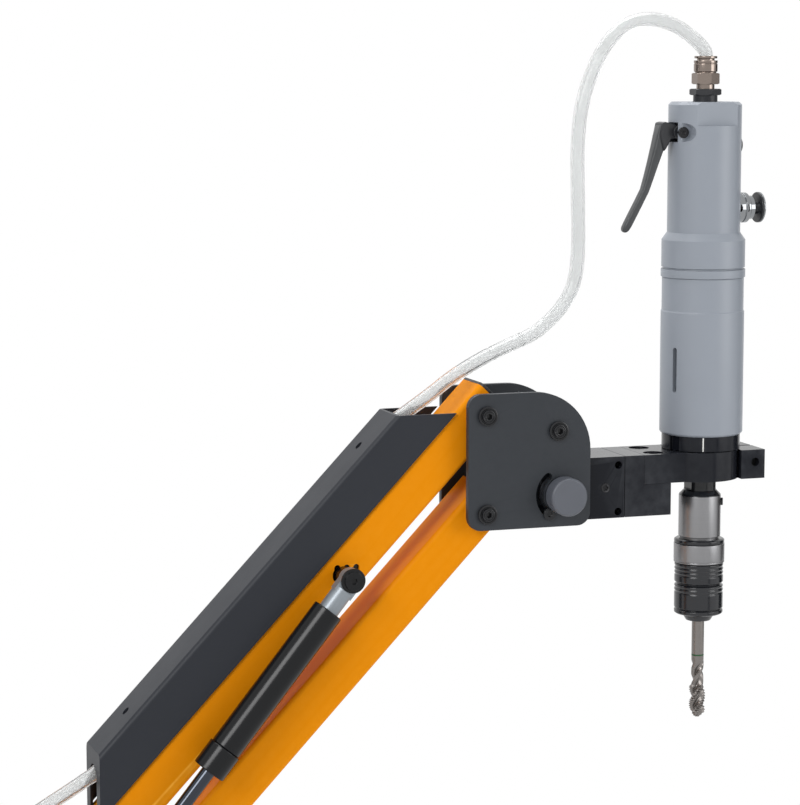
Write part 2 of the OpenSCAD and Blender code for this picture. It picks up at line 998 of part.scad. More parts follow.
// A plug in each open end of an arm, with a plate over the sheet's edge
module arm_caps() {
    for (turn = [0, 180])
        translate([turn == 0 ? arm_len + arm_past : -arm_past, 0, 0])
            rotate([0, turn, 0])
                union() {
                    bar(arm_cap_t)
                        round_rect(arm_w, arm_h, arm_edge_r);
                    translate([-arm_cap_plug, 0, 0])
                        bar(arm_cap_plug)
                            arm_cap_rim();
                }
}

module arm_cap_rim() {
    rim_w = arm_w - 2*arm_wall - 2*fit;
    rim_h = arm_h - 2*arm_wall - 2*fit;
    difference() {
        round_rect(rim_w, rim_h, arm_edge_r - arm_wall);
        square([rim_w - 2*arm_cap_rim_t, rim_h - 2*arm_cap_rim_t], center = true);
    }
}

module upper_arm_caps() {
    color(BLACK)
        arm_frame(pivot_z)
            arm_caps();
}

module lower_arm_caps() {
    color(BLACK)
        arm_frame(lower_pivot_z)
            arm_caps();
}

// Hose cover: a channel whose ends are cut level and plumb as the arm stands

module at_cover_holes() {
    for (s = post_share)
        translate([cover_from + s*(cover_to - cover_from), 0, arm_h/2])
            children();
}

module hose_cover() {
    run = cover_to - cover_from;
    color(BLACK)
        arm_frame(pivot_z)
            difference() {
                translate([cover_from, 0, arm_h/2]) {
                    bar(run)
                        difference() {
                            cover_outline();
                            translate([-cover_w/2 + cover_wall, -over])
                                square([cover_w - 2*cover_wall, cover_h - cover_wall + over]);
                        }
                    intersection() {
                        bar(run)
                            cover_outline();
                        cover_end();
                    }
                }
                translate([cover_from, 0, arm_h/2])
                    rotate([0, arm_tilt, 0])
                        translate([-cover_w, -cover_w, -cover_h])
                            cube([cover_w, 2*cover_w, 4*cover_h]);
                translate([cover_to, 0, arm_h/2])
                    rotate([0, arm_tilt, 0])
                        translate([-2*cover_h, -cover_w, 0])
                            cube([4*cover_h, 2*cover_w, cover_w]);
                at_cover_holes()
                    cylinder(d = cover_hole_d, h = cover_h + over, $fn = SMALL_FN);
            }
}

module cover_outline() {
    difference() {
        translate([0, cover_h/2 - arm_edge_r/2])
            round_rect(cover_w, cover_h + arm_edge_r, arm_edge_r);
        translate([0, -arm_edge_r])
            square([cover_w + 2*over, 2*arm_edge_r], center = true);
    }
}

// The wall at the cover's rear, with an arch that the hose comes in through
module cover_end() {
    rotate([0, arm_tilt, 0])
        difference() {
            translate([0, -cover_w/2, 0])
                cube([cover_wall, cover_w, 2*cover_h]);
            translate([0, 0, arch_top - arch_w/2])
                x_rod(arch_w, -over, cover_wall + over);
            translate([-over, -arch_w/2, -over])
                cube([cover_wall + 2*over, arch_w, arch_top - arch_w/2 + over]);
        }
}

module cover_posts() {
    color(STEEL)
        arm_frame(pivot_z)
            at_cover_holes()
                difference() {
                    cylinder(d = post_d, h = cover_h - cover_wall, $fn = SMALL_FN);
                    translate([0, 0, cover_h/2])
                        cylinder(d = post_hole_d, h = cover_h, $fn = SMALL_FN);
                }
}

// Gas spring

module spring_stud() {
    stand = spring_out - arm_w/2;
    color(BLACK)
        arm_frame(pivot_z)
            translate([spring_at, -arm_w/2, -spring_drop])
                face_y(-1)
                    difference() {
                        union() {
                            translate([0, 0, -arm_wall])
                                cylinder(d = stud_d, h = arm_wall + stand + eye_t/2 + over);
                            cylinder(d = stud_collar_d, h = stand - eye_t/2 - run_gap);
                            translate([0, 0, stand + eye_t/2 + run_gap])
                                cylinder(d = stud_head_d, h = stud_rim_h);
                            translate([0, 0, stand + eye_t/2 + run_gap])
                                cylinder(d = stud_collar_d, h = stud_head_h);
                            translate([-stud_nut_l/2, -stud_nut_w/2, -arm_wall - stud_nut_t])
                                cube([stud_nut_l, stud_nut_w, stud_nut_t]);
                        }
                        translate([0, 0, stand + eye_t/2 + stud_rim_h])
                            cylinder(d = screw_socket/cos(180/HEX), h = stud_head_h, $fn = HEX);
                    }
}

module gas_top_eye() {
    color(SILVER)
        spring_frame()
            difference() {
                union() {
                    y_rod(eye_d, eye_t/2);
                    x_rod(eye_shank_d, stud_head_d/2 + run_gap, eye_shank_to);
                    translate([0, -eye_t/2, -eye_shank_d/2])
                        cube([eye_d*3/4, eye_t, eye_shank_d]);
                    x_rod(eye_stub_d, eye_shank_to - over, eye_shank_to + eye_stub_l - over);
                }
                y_rod(stud_d + 2*fit, eye_t);
            }
}

module gas_cylinder() {
    color(BLACK)
        spring_frame()
            difference() {
                x_rod(cyl_d, eye_shank_to, cyl_to);
                x_rod(cyl_d - 2*cyl_wall, eye_shank_to + eye_stub_l + cyl_end_t, cyl_to + over);
                x_rod(eye_stub_d + 2*fit, eye_shank_to - over, eye_shank_to + eye_stub_l);
            }
}

module gas_gland() {
    color(BLACK)
        spring_frame()
            difference() {
                x_rod(gland_d, cyl_to, gland_to);
                x_rod(rod_d + 2*fit, cyl_to - over, gland_to + over);
            }
}

module gas_rod() {
    piston_at = eye_shank_to + cyl_len*piston_share;
    color(STEEL)
        spring_frame()
            union() {
                x_rod(rod_d, piston_at, spring_len - rod_eye_shank_to);
                x_rod(rod_stub_d, piston_at, spring_len - rod_eye_shank_to + eye_stub_l);
                x_rod(cyl_d - 2*cyl_wall - 2*fit, piston_at, piston_at + piston_len);
            }
}

module gas_rod_eye() {
    reach = spring_out - plate_out - run_gap;
    color(BLACK)
        spring_frame()
            translate([spring_len, 0, 0])
                difference() {
                    union() {
                        y_rod(eye_d, eye_t/2);
                        x_rod(rod_eye_shank_d, -rod_eye_shank_to, -rod_eye_shank_from);
                        translate([0, -eye_t/2 - stud_rim_h, 0])
                            rotate([-90, 0, 0])
                                cylinder(d = stud_collar_d, h = eye_t/2 + stud_rim_h + reach);
                    }
                    x_rod(rod_stub_d + 2*fit, -rod_eye_shank_to - over,
                        -rod_eye_shank_to + eye_stub_l);
                }
}

// Head plates

function on_circle(r, a) = [r*cos(a), r*sin(a)];
// Points of an arc round a centre, without its two ends
function arc(centre, r, from, to, n) = [for (i = [1:n - 1])
    centre + on_circle(r, from + (to - from)*i/n)];

// The slot that the tilt stop runs in, with round ends
module arc_slot() {
    half = tilt_slot_w/2;
    polygon(concat(
        arc([0, 0], tilt_slot_r + half, tilt_from, tilt_to, SMALL_FN),
        arc(on_circle(tilt_slot_r, tilt_to), half, tilt_to, tilt_to + 180, SMALL_FN/2),
        arc([0, 0], tilt_slot_r - half, tilt_to, tilt_from, SMALL_FN),
        arc(on_circle(tilt_slot_r, tilt_from), half, tilt_from + 180, tilt_from + 360,
            SMALL_FN/2)));
}

module head_plate(side) {
    right = head_len - head_back;
    low = head_up - head_ht;
    color(BLACK)
        head_frame()
            difference() {
                translate([0, side*(plate_gap/2 + plate_t/2), 0])
                    side_profile(plate_t)
                        difference() {
                            hull() {
                                translate([head_small_r - head_back, head_up - head_small_r])
                                    circle(head_small_r, $fn = SMALL_FN);
                                translate([head_small_r - head_back, low + head_small_r])
                                    circle(head_small_r, $fn = SMALL_FN);
                                translate([right - head_small_r, low + head_small_r])
                                    circle(head_small_r, $fn = SMALL_FN);
                                translate([right - head_big_r, head_up - head_big_r])
                                    circle(head_big_r);
                            }
                            translate([tilt_x, tilt_z])
                                arc_slot();
                        }
                for (z = [0, -pivot_gap])
                    translate([0, 0, z])
                        y_rod(pin_d + 2*fit, plate_out + over);
                translate([tilt_x, 0, tilt_z])
                    y_rod(tilt_pin_d + 2*fit, plate_out + over);
                translate([spacer_x, 0, spacer_z])
                    y_rod(screw_shank_d + 2*fit, plate_out + over);
            }
}

module head_plate_front() {
    head_plate(-1);
}

module head_plate_back() {
    head_plate(1);
}

// The two arm pivots and the tilt pin, whose stud carries the knob in front
module head_pins() {
    color(STEEL)
        head_frame()
            union() {
                for (z = [0, -pivot_gap])
                    translate([0, 0, z])
                        pivot_pin();
                translate([tilt_x, 0, tilt_z])
                    union() {
                        y_rod(tilt_pin_d, plate_out);
                        translate([0, plate_out, 0])
                            face_y(1)
                                cylinder(d = tilt_head_d, h = tilt_head_h);
                        translate([0, -plate_out, 0])
                            face_y(-1)
                                cylinder(d = knob_stud_d, h = knob_stud_l);
                    }
            }
}

module plate_spacer() {
    color(BLACK)
        head_frame()
            translate([spacer_x, 0, spacer_z])
                difference() {
                    y_rod(spacer_d, plate_gap/2);
                    for (side = [-1, 1])
                        translate([0, side*plate_gap/2, 0])
                            face_y(side)
                                translate([0, 0, -screw_shank_l])
                                    cylinder(d = screw_shank_d + 2*fit,
                                        h = screw_shank_l + over, $fn = SMALL_FN);
                }
}

module head_plate_screws() {
    color(BLACK)
        head_frame()
            for (side = [-1, 1], place = [[0, 0], [0, -pivot_gap], [spacer_x, spacer_z]])
                translate([place[0], side*plate_out, place[1]])
                    face_y(side)
                        plate_screw();
}

module tilt_knob() {
    color(BLACK)
        head_frame()
            translate([tilt_x, -plate_out - run_gap, tilt_z])
                face_y(-1)
                    difference() {
                        union() {
                            cylinder(d = knob_neck_d, h = knob_len - knob_rim);
                            translate([0, 0, knob_neck_l])
                                cylinder(d = knob_d, h = knob_len - knob_rim - knob_neck_l);
                            translate([0, 0, knob_len - knob_rim])
                                cylinder(d1 = knob_d, d2 = knob_d - 2*knob_rim, h = knob_rim);
                        }
                        translate([0, 0, -over])
                            cylinder(d = knob_stud_d + 2*fit, h = knob_stud_l + over);
                    }
}

// Head blocks

tilt_from_tool_x = head_x + tilt_x - tool_x;
tilt_from_clamp = head_z + tilt_z - clamp_top;

module at_tilt() {
    translate([tilt_from_tool_x, 0, tilt_from_clamp])
        children();
}

module at_stop_screws() {
    for (side = [-1, 1])
        translate([tilt_slot_r*cos(tilt_to), side*plate_out, tilt_slot_r*sin(tilt_to)])
            face_y(side)
                children();
}

module hinge_block() {
    low = -block_h - tilt_from_clamp;
    up = -tilt_from_clamp;
    right = hinge_to - tilt_from_tool_x;
    color(BLACK)
        tool_frame()
            at_tilt()
                difference() {
                    union() {
                        side_profile(block_w)
                            union() {
                                circle(-low);
                                translate([0, low])
                                    square([right, up - low]);
                            }
                        y_rod(boss_d, plate_gap/2 - run_gap);
                    }
                    y_rod(tilt_pin_d + 2*fit, plate_out);
                    at_stop_screws()
                        translate([0, 0, -plate_t - stop_deep])
                            cylinder(d = stop_screw_d + 2*fit, h = stop_deep + over,
                                $fn = SMALL_FN);
                    for (z = [up - side_hole_top, low + side_hole_low])
                        translate([right - side_hole_in, 0, z])
                            y_rod(side_hole_d, block_w/2 + over);
                    for (side = [-1, 1])
                        translate([right - side_screw_in, side*block_w/2, low + block_h/2])
                            face_y(side)
                                translate([0, 0, -side_screw_sink - side_hole_deep])
                                    cylinder(d = side_screw_d + 4*fit,
                                        h = side_screw_sink + side_hole_deep + over,
                                        $fn = SMALL_FN);
                }
}

module l_block() {
    color(BLACK)
        tool_frame()
            difference() {
                side_profile(block_w)
                    polygon([[hinge_to, -block_h], [ledge_to, -block_h],
                        [ledge_to, -clamp_t], [ledge_from, -clamp_t],
                        [ledge_from, 0], [hinge_to, 0]]);
                at_clamp_bolts()
                    translate([0, 0, -cap_shank_l - over])
                        cylinder(d = cap_shank_d + 2*fit, h = cap_shank_l + over,
                            $fn = SMALL_FN);
            }
}

// Socket screws in the sides of the hinge block
module block_screws() {
    color(STEEL)
        tool_frame()
            at_tilt()
                for (side = [-1, 1])
                    translate([hinge_to - tilt_from_tool_x - side_screw_in,
                        side*(block_w/2 - side_screw_sink), -block_h/2 - tilt_from_clamp])
                        face_y(side)
                            cap_screw(side_screw_d, side_screw_h, stop_socket,
                                stop_screw_d, side_hole_deep);
}

module tilt_stop_screws() {
    color(STEEL)
        tool_frame()
            at_tilt()
                at_stop_screws()
                    cap_screw(stop_head_d, stop_head_h, stop_socket, stop_screw_d,
                        plate_t + stop_deep - over);
}

// Motor clamp

module at_clamp_bolts() {
    for (side = [-1, 1])
        translate([clamp_bolt_x, side*clamp_bolt_y, -cbore_deep])
            children();
}

module at_pinch_screw() {
    translate([pinch_x, 0, pinch_up - clamp_t])
        children();
}

module motor_clamp() {
    color(BLACK)
        tool_frame()
            difference() {
                translate([0, 0, -clamp_t])
                    linear_extrude(clamp_t)
                        union() {
                            translate([ring_off, 0])
                                circle(d = clamp_ring_d);
                            translate([ledge_from, -block_w/2])
                                square([-ledge_from + ring_off, block_w]);
                            translate([nose_d/2, -block_w/2])
                                square([lug_to - nose_d/2, block_w]);
                        }
                translate([0, 0, -clamp_t - over])
                    cylinder(d = nose_d + 2*fit, h = clamp_t + 2*over);
                translate([0, -lug_slit/2, -clamp_t - over])
                    cube([lug_to + over, lug_slit, clamp_t + 2*over]);
                at_clamp_bolts() {
                    cylinder(d = cbore_d, h = cbore_deep + over);
                    translate([0, 0, -clamp_t])
                        cylinder(d = cap_shank_d + 2*fit, h = clamp_t + over, $fn = SMALL_FN);
                }
                at_pinch_screw()
                    union() {
                        y_rod(pinch_d + 2*fit, block_w/2 + over);
                        translate([0, block_w/2 - pinch_head_h, 0])
                            face_y(1)
                                cylinder(d = pinch_head_d + 4*fit, h = pinch_head_h + over);
                    }
            }
}

module clamp_screws() {
    color(STEEL)
        tool_frame()
            union() {
                at_clamp_bolts()
                    m8_screw();
                at_pinch_screw()
                    translate([0, block_w/2 - pinch_head_h, 0])
                        face_y(1)
                            cap_screw(pinch_head_d, pinch_head_h, pinch_socket, pinch_d,
                                block_w - 2*pinch_head_h);
            }
}

// Air motor, from the clamp's top

module motor_lower_housing() {
    color(SILVER)
        tool_frame()
            difference() {
                union() {
                    rotate_extrude()
                        polygon([[0, low_from], [motor_d/2 - motor_edge, low_from],
                            [motor_d/2, low_from + motor_edge],
                            [motor_d/2, ring_from - waist_h - waist_in],
                            [motor_d/2 - waist_in, ring_from - waist_h],
                            [motor_d/2 - waist_in, ring_from],
                            [0, ring_from]]);
                    translate([0, 0, -clamp_t])
                        cylinder(d = nose_d, h = nose_up + over);
                }
                rotate([0, 0, -90 - vent_turn])
                    translate([motor_d/2 - vent_deep, -vent_w/2, low_from + vent_up])
                        cube([2*vent_deep, vent_w, vent_h]);
                translate([0, 0, -clamp_t - over])
                    cylinder(d = spindle_shaft_d + 2*fit, h = spindle_shaft_l + 2*over);
            }
}

module nose_collar() {
    color(BLACK)
        tool_frame()
            difference() {
                translate([0, 0, run_gap])
                    cylinder(d = collar_d, h = collar_h - run_gap);
                translate([0, 0, -over])
                    cylinder(d = nose_d + 2*fit, h = collar_h + 2*over);
                rotate([0, 0, -90 - notch_turn])
                    translate([collar_d/2 - notch_deep, -notch_w/2, -over])
                        cube([2*notch_deep, notch_w, collar_h + 2*over]);
                rotate([0, 0, -90 - line_turn])
                    translate([collar_d/2 - line_deep, -line_w/2, -over])
                        cube([2*line_deep, line_w, collar_h + 2*over]);
            }
}

module motor_joint_ring() {
    color(SILVER)
        tool_frame()
            translate([0, 0, ring_from])
                rotate_extrude()
                    polygon([[0, 0], [motor_d/2 + joint_lip, 0],
                        [motor_d/2 + joint_lip, ring_len - joint_groove_h],
                        [motor_d/2 - joint_groove, ring_len - joint_groove_h],
                        [motor_d/2 - joint_groove, ring_len], [0, ring_len]]);
}

module at_lever() {
    translate([lever_x, 0, lever_z])
        children();
}

module motor_upper_housing() {
    color(SILVER)
        tool_frame()
            difference() {
                rotate_extrude()
                    polygon([[0, foot_from], [motor_d/2, foot_from],
                        [motor_d/2, foot_from + foot_len], [grip_d/2, grip_from],
                        [grip_d/2, motor_top - grip_edge],
                        [grip_d/2 - grip_edge, motor_top], [0, motor_top]]);
                for (side = [-1, 1])
                    translate([-grip_d, side*(flats_w/2 + grip_d/2) - grip_d/2,
                        motor_top - flats_h])
                        cube([2*grip_d, grip_d, grip_d]);
                at_lever() {
                    y_rod(lever_pocket_d, lever_w/2 + run_gap);
                    translate([-lever_pocket_d, -lever_w/2 - run_gap, -lever_pocket_d/2])
                        cube([lever_pocket_d, lever_w + 2*run_gap, lever_pocket_d]);
                    y_rod(lever_pin_d + 2*fit, motor_d/2);
                    for (side = [-1, 1])
                        translate([0, side*lever_pin_half, 0])
                            face_y(side)
                                cylinder(d = lever_pocket_d - over, h = motor_d/2);
                }
                translate([0, 0, button_z])
                    x_rod(neck_d + 2*fit, neck_from, neck_to);
                translate([0, 0, button_z])
                    x_rod(stem_d + 2*fit, neck_from - button_travel - over, neck_from + over);
                translate([0, 0, motor_top - plug_down])
                    x_rod(plug_d + 2*fit, grip_d/2 - plug_deep, grip_d);
            }
}

module side_plug() {
    color(BLACK)
        tool_frame()
            translate([0, 0, motor_top - plug_down])
                union() {
                    x_rod(plug_d, grip_d/2 - plug_deep, grip_d/2 + plug_out*3/5);
                    x_rod(plug_d*3/5, grip_d/2, grip_d/2 + plug_out);
                }
}

module button_neck() {
    color(STEEL)
        tool_frame()
            translate([0, 0, button_z])
                difference() {
                    x_rod(neck_d, neck_from, neck_to);
                    x_rod(stem_d + 2*fit, neck_from - over, neck_to + over);
                }
}

module reverse_button() {
    flange = neck_to + button_travel + run_gap;
    color(BLACK)
        tool_frame()
            translate([0, 0, button_z])
                union() {
                    x_rod(stem_d, neck_from, flange + over);
                    x_rod(button_d, flange, flange + button_t);
                }
}

module throttle_lever() {
    color(BLACK)
        tool_frame()
            at_lever()
                difference() {
                    intersection() {
                        union() {
                            y_rod(lever_hub_d, lever_w/2);
                            side_profile(lever_w)
                                polygon(lever_reach*lever_shares);
                        }
                        translate([-lever_reach, 0, -lever_reach - over])
                            linear_extrude(2*lever_reach)
                                polygon([[2*lever_reach, -lever_w/2], [2*lever_reach, lever_w/2],
                                    [lever_reach*4/5, lever_w/2],
                                    [lever_reach/3, lever_tip_w/2],
                                    [lever_reach/3, -lever_tip_w/2],
                                    [lever_reach*4/5, -lever_w/2]]);
                    }
                    y_rod(lever_pin_d + 2*fit, lever_w);
                }
}

module lever_pin() {
    color(STEEL)
        tool_frame()
            at_lever()
                union() {
                    y_rod(lever_pin_d, lever_pin_half);
                    for (side = [-1, 1])
                        translate([0, side*lever_pin_half, 0])
                            face_y(side)
                                difference() {
                                    cylinder(d = lever_pin_head_d, h = lever_pin_head_h);
                                    translate([0, 0, lever_pin_head_h/2])
                                        cylinder(d = lever_pin_socket, h = lever_pin_head_h,
                                            $fn = HEX);
                                }
                }
}

// The black bushing and the push-in fitting that stands in it
module air_fitting() {
    tool_frame() {
        color(BLACK)
            translate([0, 0, motor_top])
                cylinder(d = bushing_d, h = bushing_h);
        color(BLACK)
            translate([0, 0, motor_top + bushing_h])
                cylinder(d = bushing_hex/cos(180/HEX), h = bushing_hex_h, $fn = HEX);
        color(NICKEL)
            translate([0, 0, air_from])
                cylinder(d = air_neck_d, h = air_neck_h);
        color(NICKEL)
            translate([0, 0, air_from + air_neck_h])
                hose_fitting(air_hex, air_hex_h, air_body_d, air_body_h,
                    collet_d + 2*fit, air_body_h + air_hex_h/2);
    }
}

module release_ring() {
    color(NICKEL)
        tool_frame()
            translate([0, 0, air_top + air_ring_travel])
                difference() {
                    union() {
                        cylinder(d = air_ring_d, h = air_ring_h - air_ring_travel);
                        translate([0, 0, -air_ring_travel - collet_l])
                            cylinder(d = collet_d, h = collet_l + air_ring_h);
                    }
                    translate([0, 0, -air_ring_travel - collet_l - over])
                        cylinder(d = hose_d + 2*run_gap, h = collet_l + air_ring_h + 2*over);
                }
}

// Spindle, chuck and tap

module spindle() {
    color(STEEL)
        tool_frame()
            difference() {
                union() {
                    translate([0, 0, chuck_from])
                        cylinder(d = spindle_d, h = spindle_len);
                    translate([0, 0, chuck_from + spindle_len - over])
                        cylinder(d = spindle_shaft_d, h = spindle_shaft_l + over);
                }
                for (side = [-1, 1])
                    translate([side*(spindle_d - spindle_flat) - spindle_d/2, -spindle_d/2,
                        chuck_from + over])
                        cube([spindle_d, spindle_d, spindle_len - 2*over]);
            }
}

module at_set_screw() {
    rotate([0, 0, set_screw_turn])
        translate([0, 0, body_from - set_screw_down])
            children();
}

module chuck_body() {
    color(STEEL)
        tool_frame()
            union() {
                difference() {
                    rotate_extrude()
                        polygon([[0, chuck_from], [chuck_bevel_d/2, chuck_from],
                            [chuck_d/2, body_from], [chuck_d/2, body_from - chuck_len],
                            [core_gap_d/2, body_from - chuck_len], [core_gap_d/2, size_from],
                            [size_collar_d/2, size_from], [size_collar_d/2, sleeve_from],
                            [core_d/2, sleeve_from], [core_d/2, nut_from + core_past],
                            [holder_d/2 + fit, nut_from + core_past],
                            [holder_d/2 + fit, nut_from + holder_len + over],
                            [0, nut_from + holder_len + over]]);
                    at_set_screw()
                        x_rod(set_screw_d + 2*fit, chuck_d/2 - set_screw_in - over, chuck_d);
                }
                at_set_screw()
                    x_rod(set_screw_d, chuck_d/2 - set_screw_in - 2*over,
                        chuck_d/2 + set_screw_out);
            }
}

module chuck_sleeve() {
    bore = core_d/2 + fit;
    wall = sleeve_d/2;
    bottom = nut_from;
    color(BLACK)
        tool_frame()
            difference() {
                translate([0, 0, bottom])
                    rotate_extrude()
                        polygon([[bore, 0], [wall - sleeve_groove, 0],
                            [wall, sleeve_len*(1 - sleeve_lip_share)],
                            [wall, sleeve_len - run_gap],
                            [bore, sleeve_len - run_gap]]);
                for (s = sleeve_groove_shares)
                    sleeve_ring(s, sleeve_groove);
                sleeve_ring(sleeve_main_share, sleeve_main_groove);
                sleeve_ring(sleeve_lip_share, sleeve_groove);
            }
}

// A groove round the sleeve, at a share of its length from the top
module sleeve_ring(share, deep) {
    translate([0, 0, sleeve_from - share*sleeve_len])
        rotate_extrude()
            translate([sleeve_d/2 - deep, -sleeve_groove_h/2])
                square([2*deep, sleeve_groove_h]);
}

module tap_holder() {
    color(BLACK)
        tool_frame()
            rotate_extrude()
                polygon([[shank_d/2 + fit, tap_from], [holder_foot_d/2, tap_from],
                    [holder_nut_d/2, nut_from - over], [holder_nut_d/2, nut_from + core_past/2],
                    [holder_d/2, nut_from + core_past/2], [holder_d/2, nut_from + holder_len],
                    [shank_d/2 + fit, nut_from + holder_len]]);
}

// Cross-section of the tap: its lands, and the flutes between them
function tap_outline(r) = [for (i = [0:FLUTES - 1]) for (s = tap_shares)
    r*s[0]*[cos((2*i + s[1])*180/FLUTES), sin((2*i + s[1])*180/FLUTES)]];

// Flutes all the way down, cut to the neck, the thread and the cone at the tip
module tap() {
    low = tap_from - tap_out;
    thread_from = low + thread_len;
    neck_end = thread_from + flute_len;
    fluted_len = thread_len + flute_len;
    color(STEEL)
        tool_frame()
            union() {
                translate([0, 0, neck_end - over])
                    cylinder(d = shank_d, h = tap_from - neck_end + tap_in + over);
                intersection() {
                    translate([0, 0, neck_end])
                        mirror([0, 0, 1])
                            linear_extrude(fluted_len + over,
                                twist = flute_turn*fluted_len/tap_d, slices = TAP_SLICES)
                                polygon(tap_outline(tap_d/2 + over));
                    rotate_extrude($fn = SMALL_FN)
                        polygon([[0, low], [tap_d/6, low], [tap_d/2, low + tap_tip],
                            [tap_d/2, thread_from], [shank_d/2 - fit, thread_from],
                            [shank_d/2 - fit, neck_end + over], [0, neck_end + over]]);
                }
            }
}

// Hose

function point_at(path, i) = path[max(0, min(len(path) - 1, i))];
function unit(v) = v/norm(v);
function along(path, i) = unit(point_at(path, i + 1) - point_at(path, i - 1));
// Routes lie near an X-Z plane, so Y serves as a side of each ring
function ring(p, way, r) = let (n = unit(cross(way, [0, 1, 0])), m = cross(n, way))
    [for (k = [0:HOSE_SIDES - 1]) p + r*cos(360*k/HOSE_SIDES)*m + r*sin(360*k/HOSE_SIDES)*n];

module tube(route, r) {
    last = len(route) - 1;
    rings = [for (i = [0:last]) each ring(route[i], along(route, i), r)];
    sides = [for (i = [0:last - 1], k = [0:HOSE_SIDES - 1])
        let (a = i*HOSE_SIDES + k, b = i*HOSE_SIDES + (k + 1)%HOSE_SIDES)
        [a, a + HOSE_SIDES, b + HOSE_SIDES, b]];
    start = [[for (k = [0:HOSE_SIDES - 1]) k]];
    end = [[for (k = [0:HOSE_SIDES - 1]) last*HOSE_SIDES + HOSE_SIDES - 1 - k]];
    polyhedron(rings, concat(sides, start, end));
}

module hose_inlet() {
    color(CLEAR)
        tube(INLET_ROUTE, hose_d/2);
}

module hose_run() {
    color(CLEAR)
        tube(RUN_ROUTE, hose_d/2);
}

module hose_lift() {
    color(CLEAR)
        tube(LIFT_ROUTE, hose_d/2);
}

module hose_arch() {
    color(CLEAR)
        tube(ARCH_ROUTE, hose_d/2);
}

base_plate();
column();
column_screws();
column_cap();
swing_link();
swivel_bushes();
shoulder_block();
elbow_cap();
rear_plate_front();
rear_plate_back();
rear_pins();
shoulder_screws();
inlet_block();
inlet_fitting();
upper_arm();
upper_arm_bushes();
upper_arm_caps();
hose_cover();
cover_posts();
spring_stud();
lower_arm();
lower_arm_bushes();
lower_arm_caps();
gas_cylinder();
gas_gland();
gas_top_eye();
gas_rod();
gas_rod_eye();
head_plate_front();
head_plate_back();
head_pins();
plate_spacer();
head_plate_screws();
tilt_knob();
hinge_block();
l_block();
block_screws();
tilt_stop_screws();
motor_clamp();
clamp_screws();
motor_lower_housing();
nose_collar();
motor_joint_ring();
motor_upper_housing();
side_plug();
button_neck();
reverse_button();
throttle_lever();
lever_pin();
air_fitting();
release_ring();
spindle();
chuck_body();
chuck_sleeve();
tap_holder();
tap();
hose_inlet();
hose_run();
hose_lift();
hose_arch();
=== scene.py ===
"""Dresses the arm tapping machine: its paints, metals, hose, screws and tap.

Every length in a dataclass is in millimetres unless its name or the class's docstring says
otherwise, and every mesh is made in the part's own frame: the origin under the column, +X
toward the tool.
"""

import json
import logging
import math
from dataclasses import dataclass, field
from enum import Enum
from functools import cache
from typing import Callable, Iterable, Sequence

import bmesh
import bpy
from mathutils import Matrix, Vector

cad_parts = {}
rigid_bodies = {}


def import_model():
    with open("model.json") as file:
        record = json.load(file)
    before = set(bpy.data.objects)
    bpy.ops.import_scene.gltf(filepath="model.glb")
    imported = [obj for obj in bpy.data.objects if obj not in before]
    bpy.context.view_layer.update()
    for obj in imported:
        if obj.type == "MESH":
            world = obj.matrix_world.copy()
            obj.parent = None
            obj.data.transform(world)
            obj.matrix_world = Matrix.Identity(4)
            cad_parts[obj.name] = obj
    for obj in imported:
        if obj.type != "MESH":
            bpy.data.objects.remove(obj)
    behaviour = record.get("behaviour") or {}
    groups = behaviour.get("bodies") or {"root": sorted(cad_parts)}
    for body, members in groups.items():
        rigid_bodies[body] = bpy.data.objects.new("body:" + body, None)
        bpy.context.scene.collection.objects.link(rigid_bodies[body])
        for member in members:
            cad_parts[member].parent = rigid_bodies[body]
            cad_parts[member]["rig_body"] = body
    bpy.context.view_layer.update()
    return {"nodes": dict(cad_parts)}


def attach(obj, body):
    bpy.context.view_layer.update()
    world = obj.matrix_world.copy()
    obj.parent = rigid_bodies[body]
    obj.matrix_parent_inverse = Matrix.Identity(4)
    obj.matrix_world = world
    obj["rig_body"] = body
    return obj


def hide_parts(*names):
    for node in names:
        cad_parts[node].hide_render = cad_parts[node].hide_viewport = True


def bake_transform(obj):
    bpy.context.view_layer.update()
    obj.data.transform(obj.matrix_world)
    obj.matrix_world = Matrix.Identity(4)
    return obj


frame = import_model()
LOG = logging.getLogger("tapping_arm")
Point = tuple[float, float, float]
Outline = Sequence[tuple[float, float]]
Rule = Callable[[float, float, float], float]
MM = 0.001
UP = Vector((0, 0, 1))
WHITE = (1.0, 1.0, 1.0, 1.0)

# Least relief in millimetres, the weld in metres, and angles in degrees. An edge shades
# sharp past SHARP_DEG, and gets a broken edge past BEVEL_DEG.
LEAST_RELIEF = 0.004
LEAST_ROUGHNESS = 0.03
PROUD_FROM = 0.53
PROUD_GAIN = 9.0
SHARP_DEG = 32.0
SOFT_DEG = 50.0
TAP_SHARP_DEG = 40.0
BEVEL_DEG = 34.0
FLAT_DEG = 0.6
FLAT_WEIGHT = 70
WELD_M = 2e-6
HOSE_SIDES = 28
CORNER_SHARE = 0.45
HEXAGON_MARGIN = 0.01
FINE_STEPS = 120
FRONT_DEG = -90.0
GROOVE_POWER = 1.5


class Sheen(Enum):
    """How much a surface shines, as its roughness."""

    MIRROR = 0.08
    GLOSS = 0.2
    SATIN = 0.36
    SOFT = 0.48


class Grain(Enum):
    """The fine relief of a surface, as its height in millimetres."""

    SMOOTH = 0.0
    ORANGE_PEEL = 0.012
    PEBBLED = 0.03
    TURNED = 0.006
    CAST = 0.05


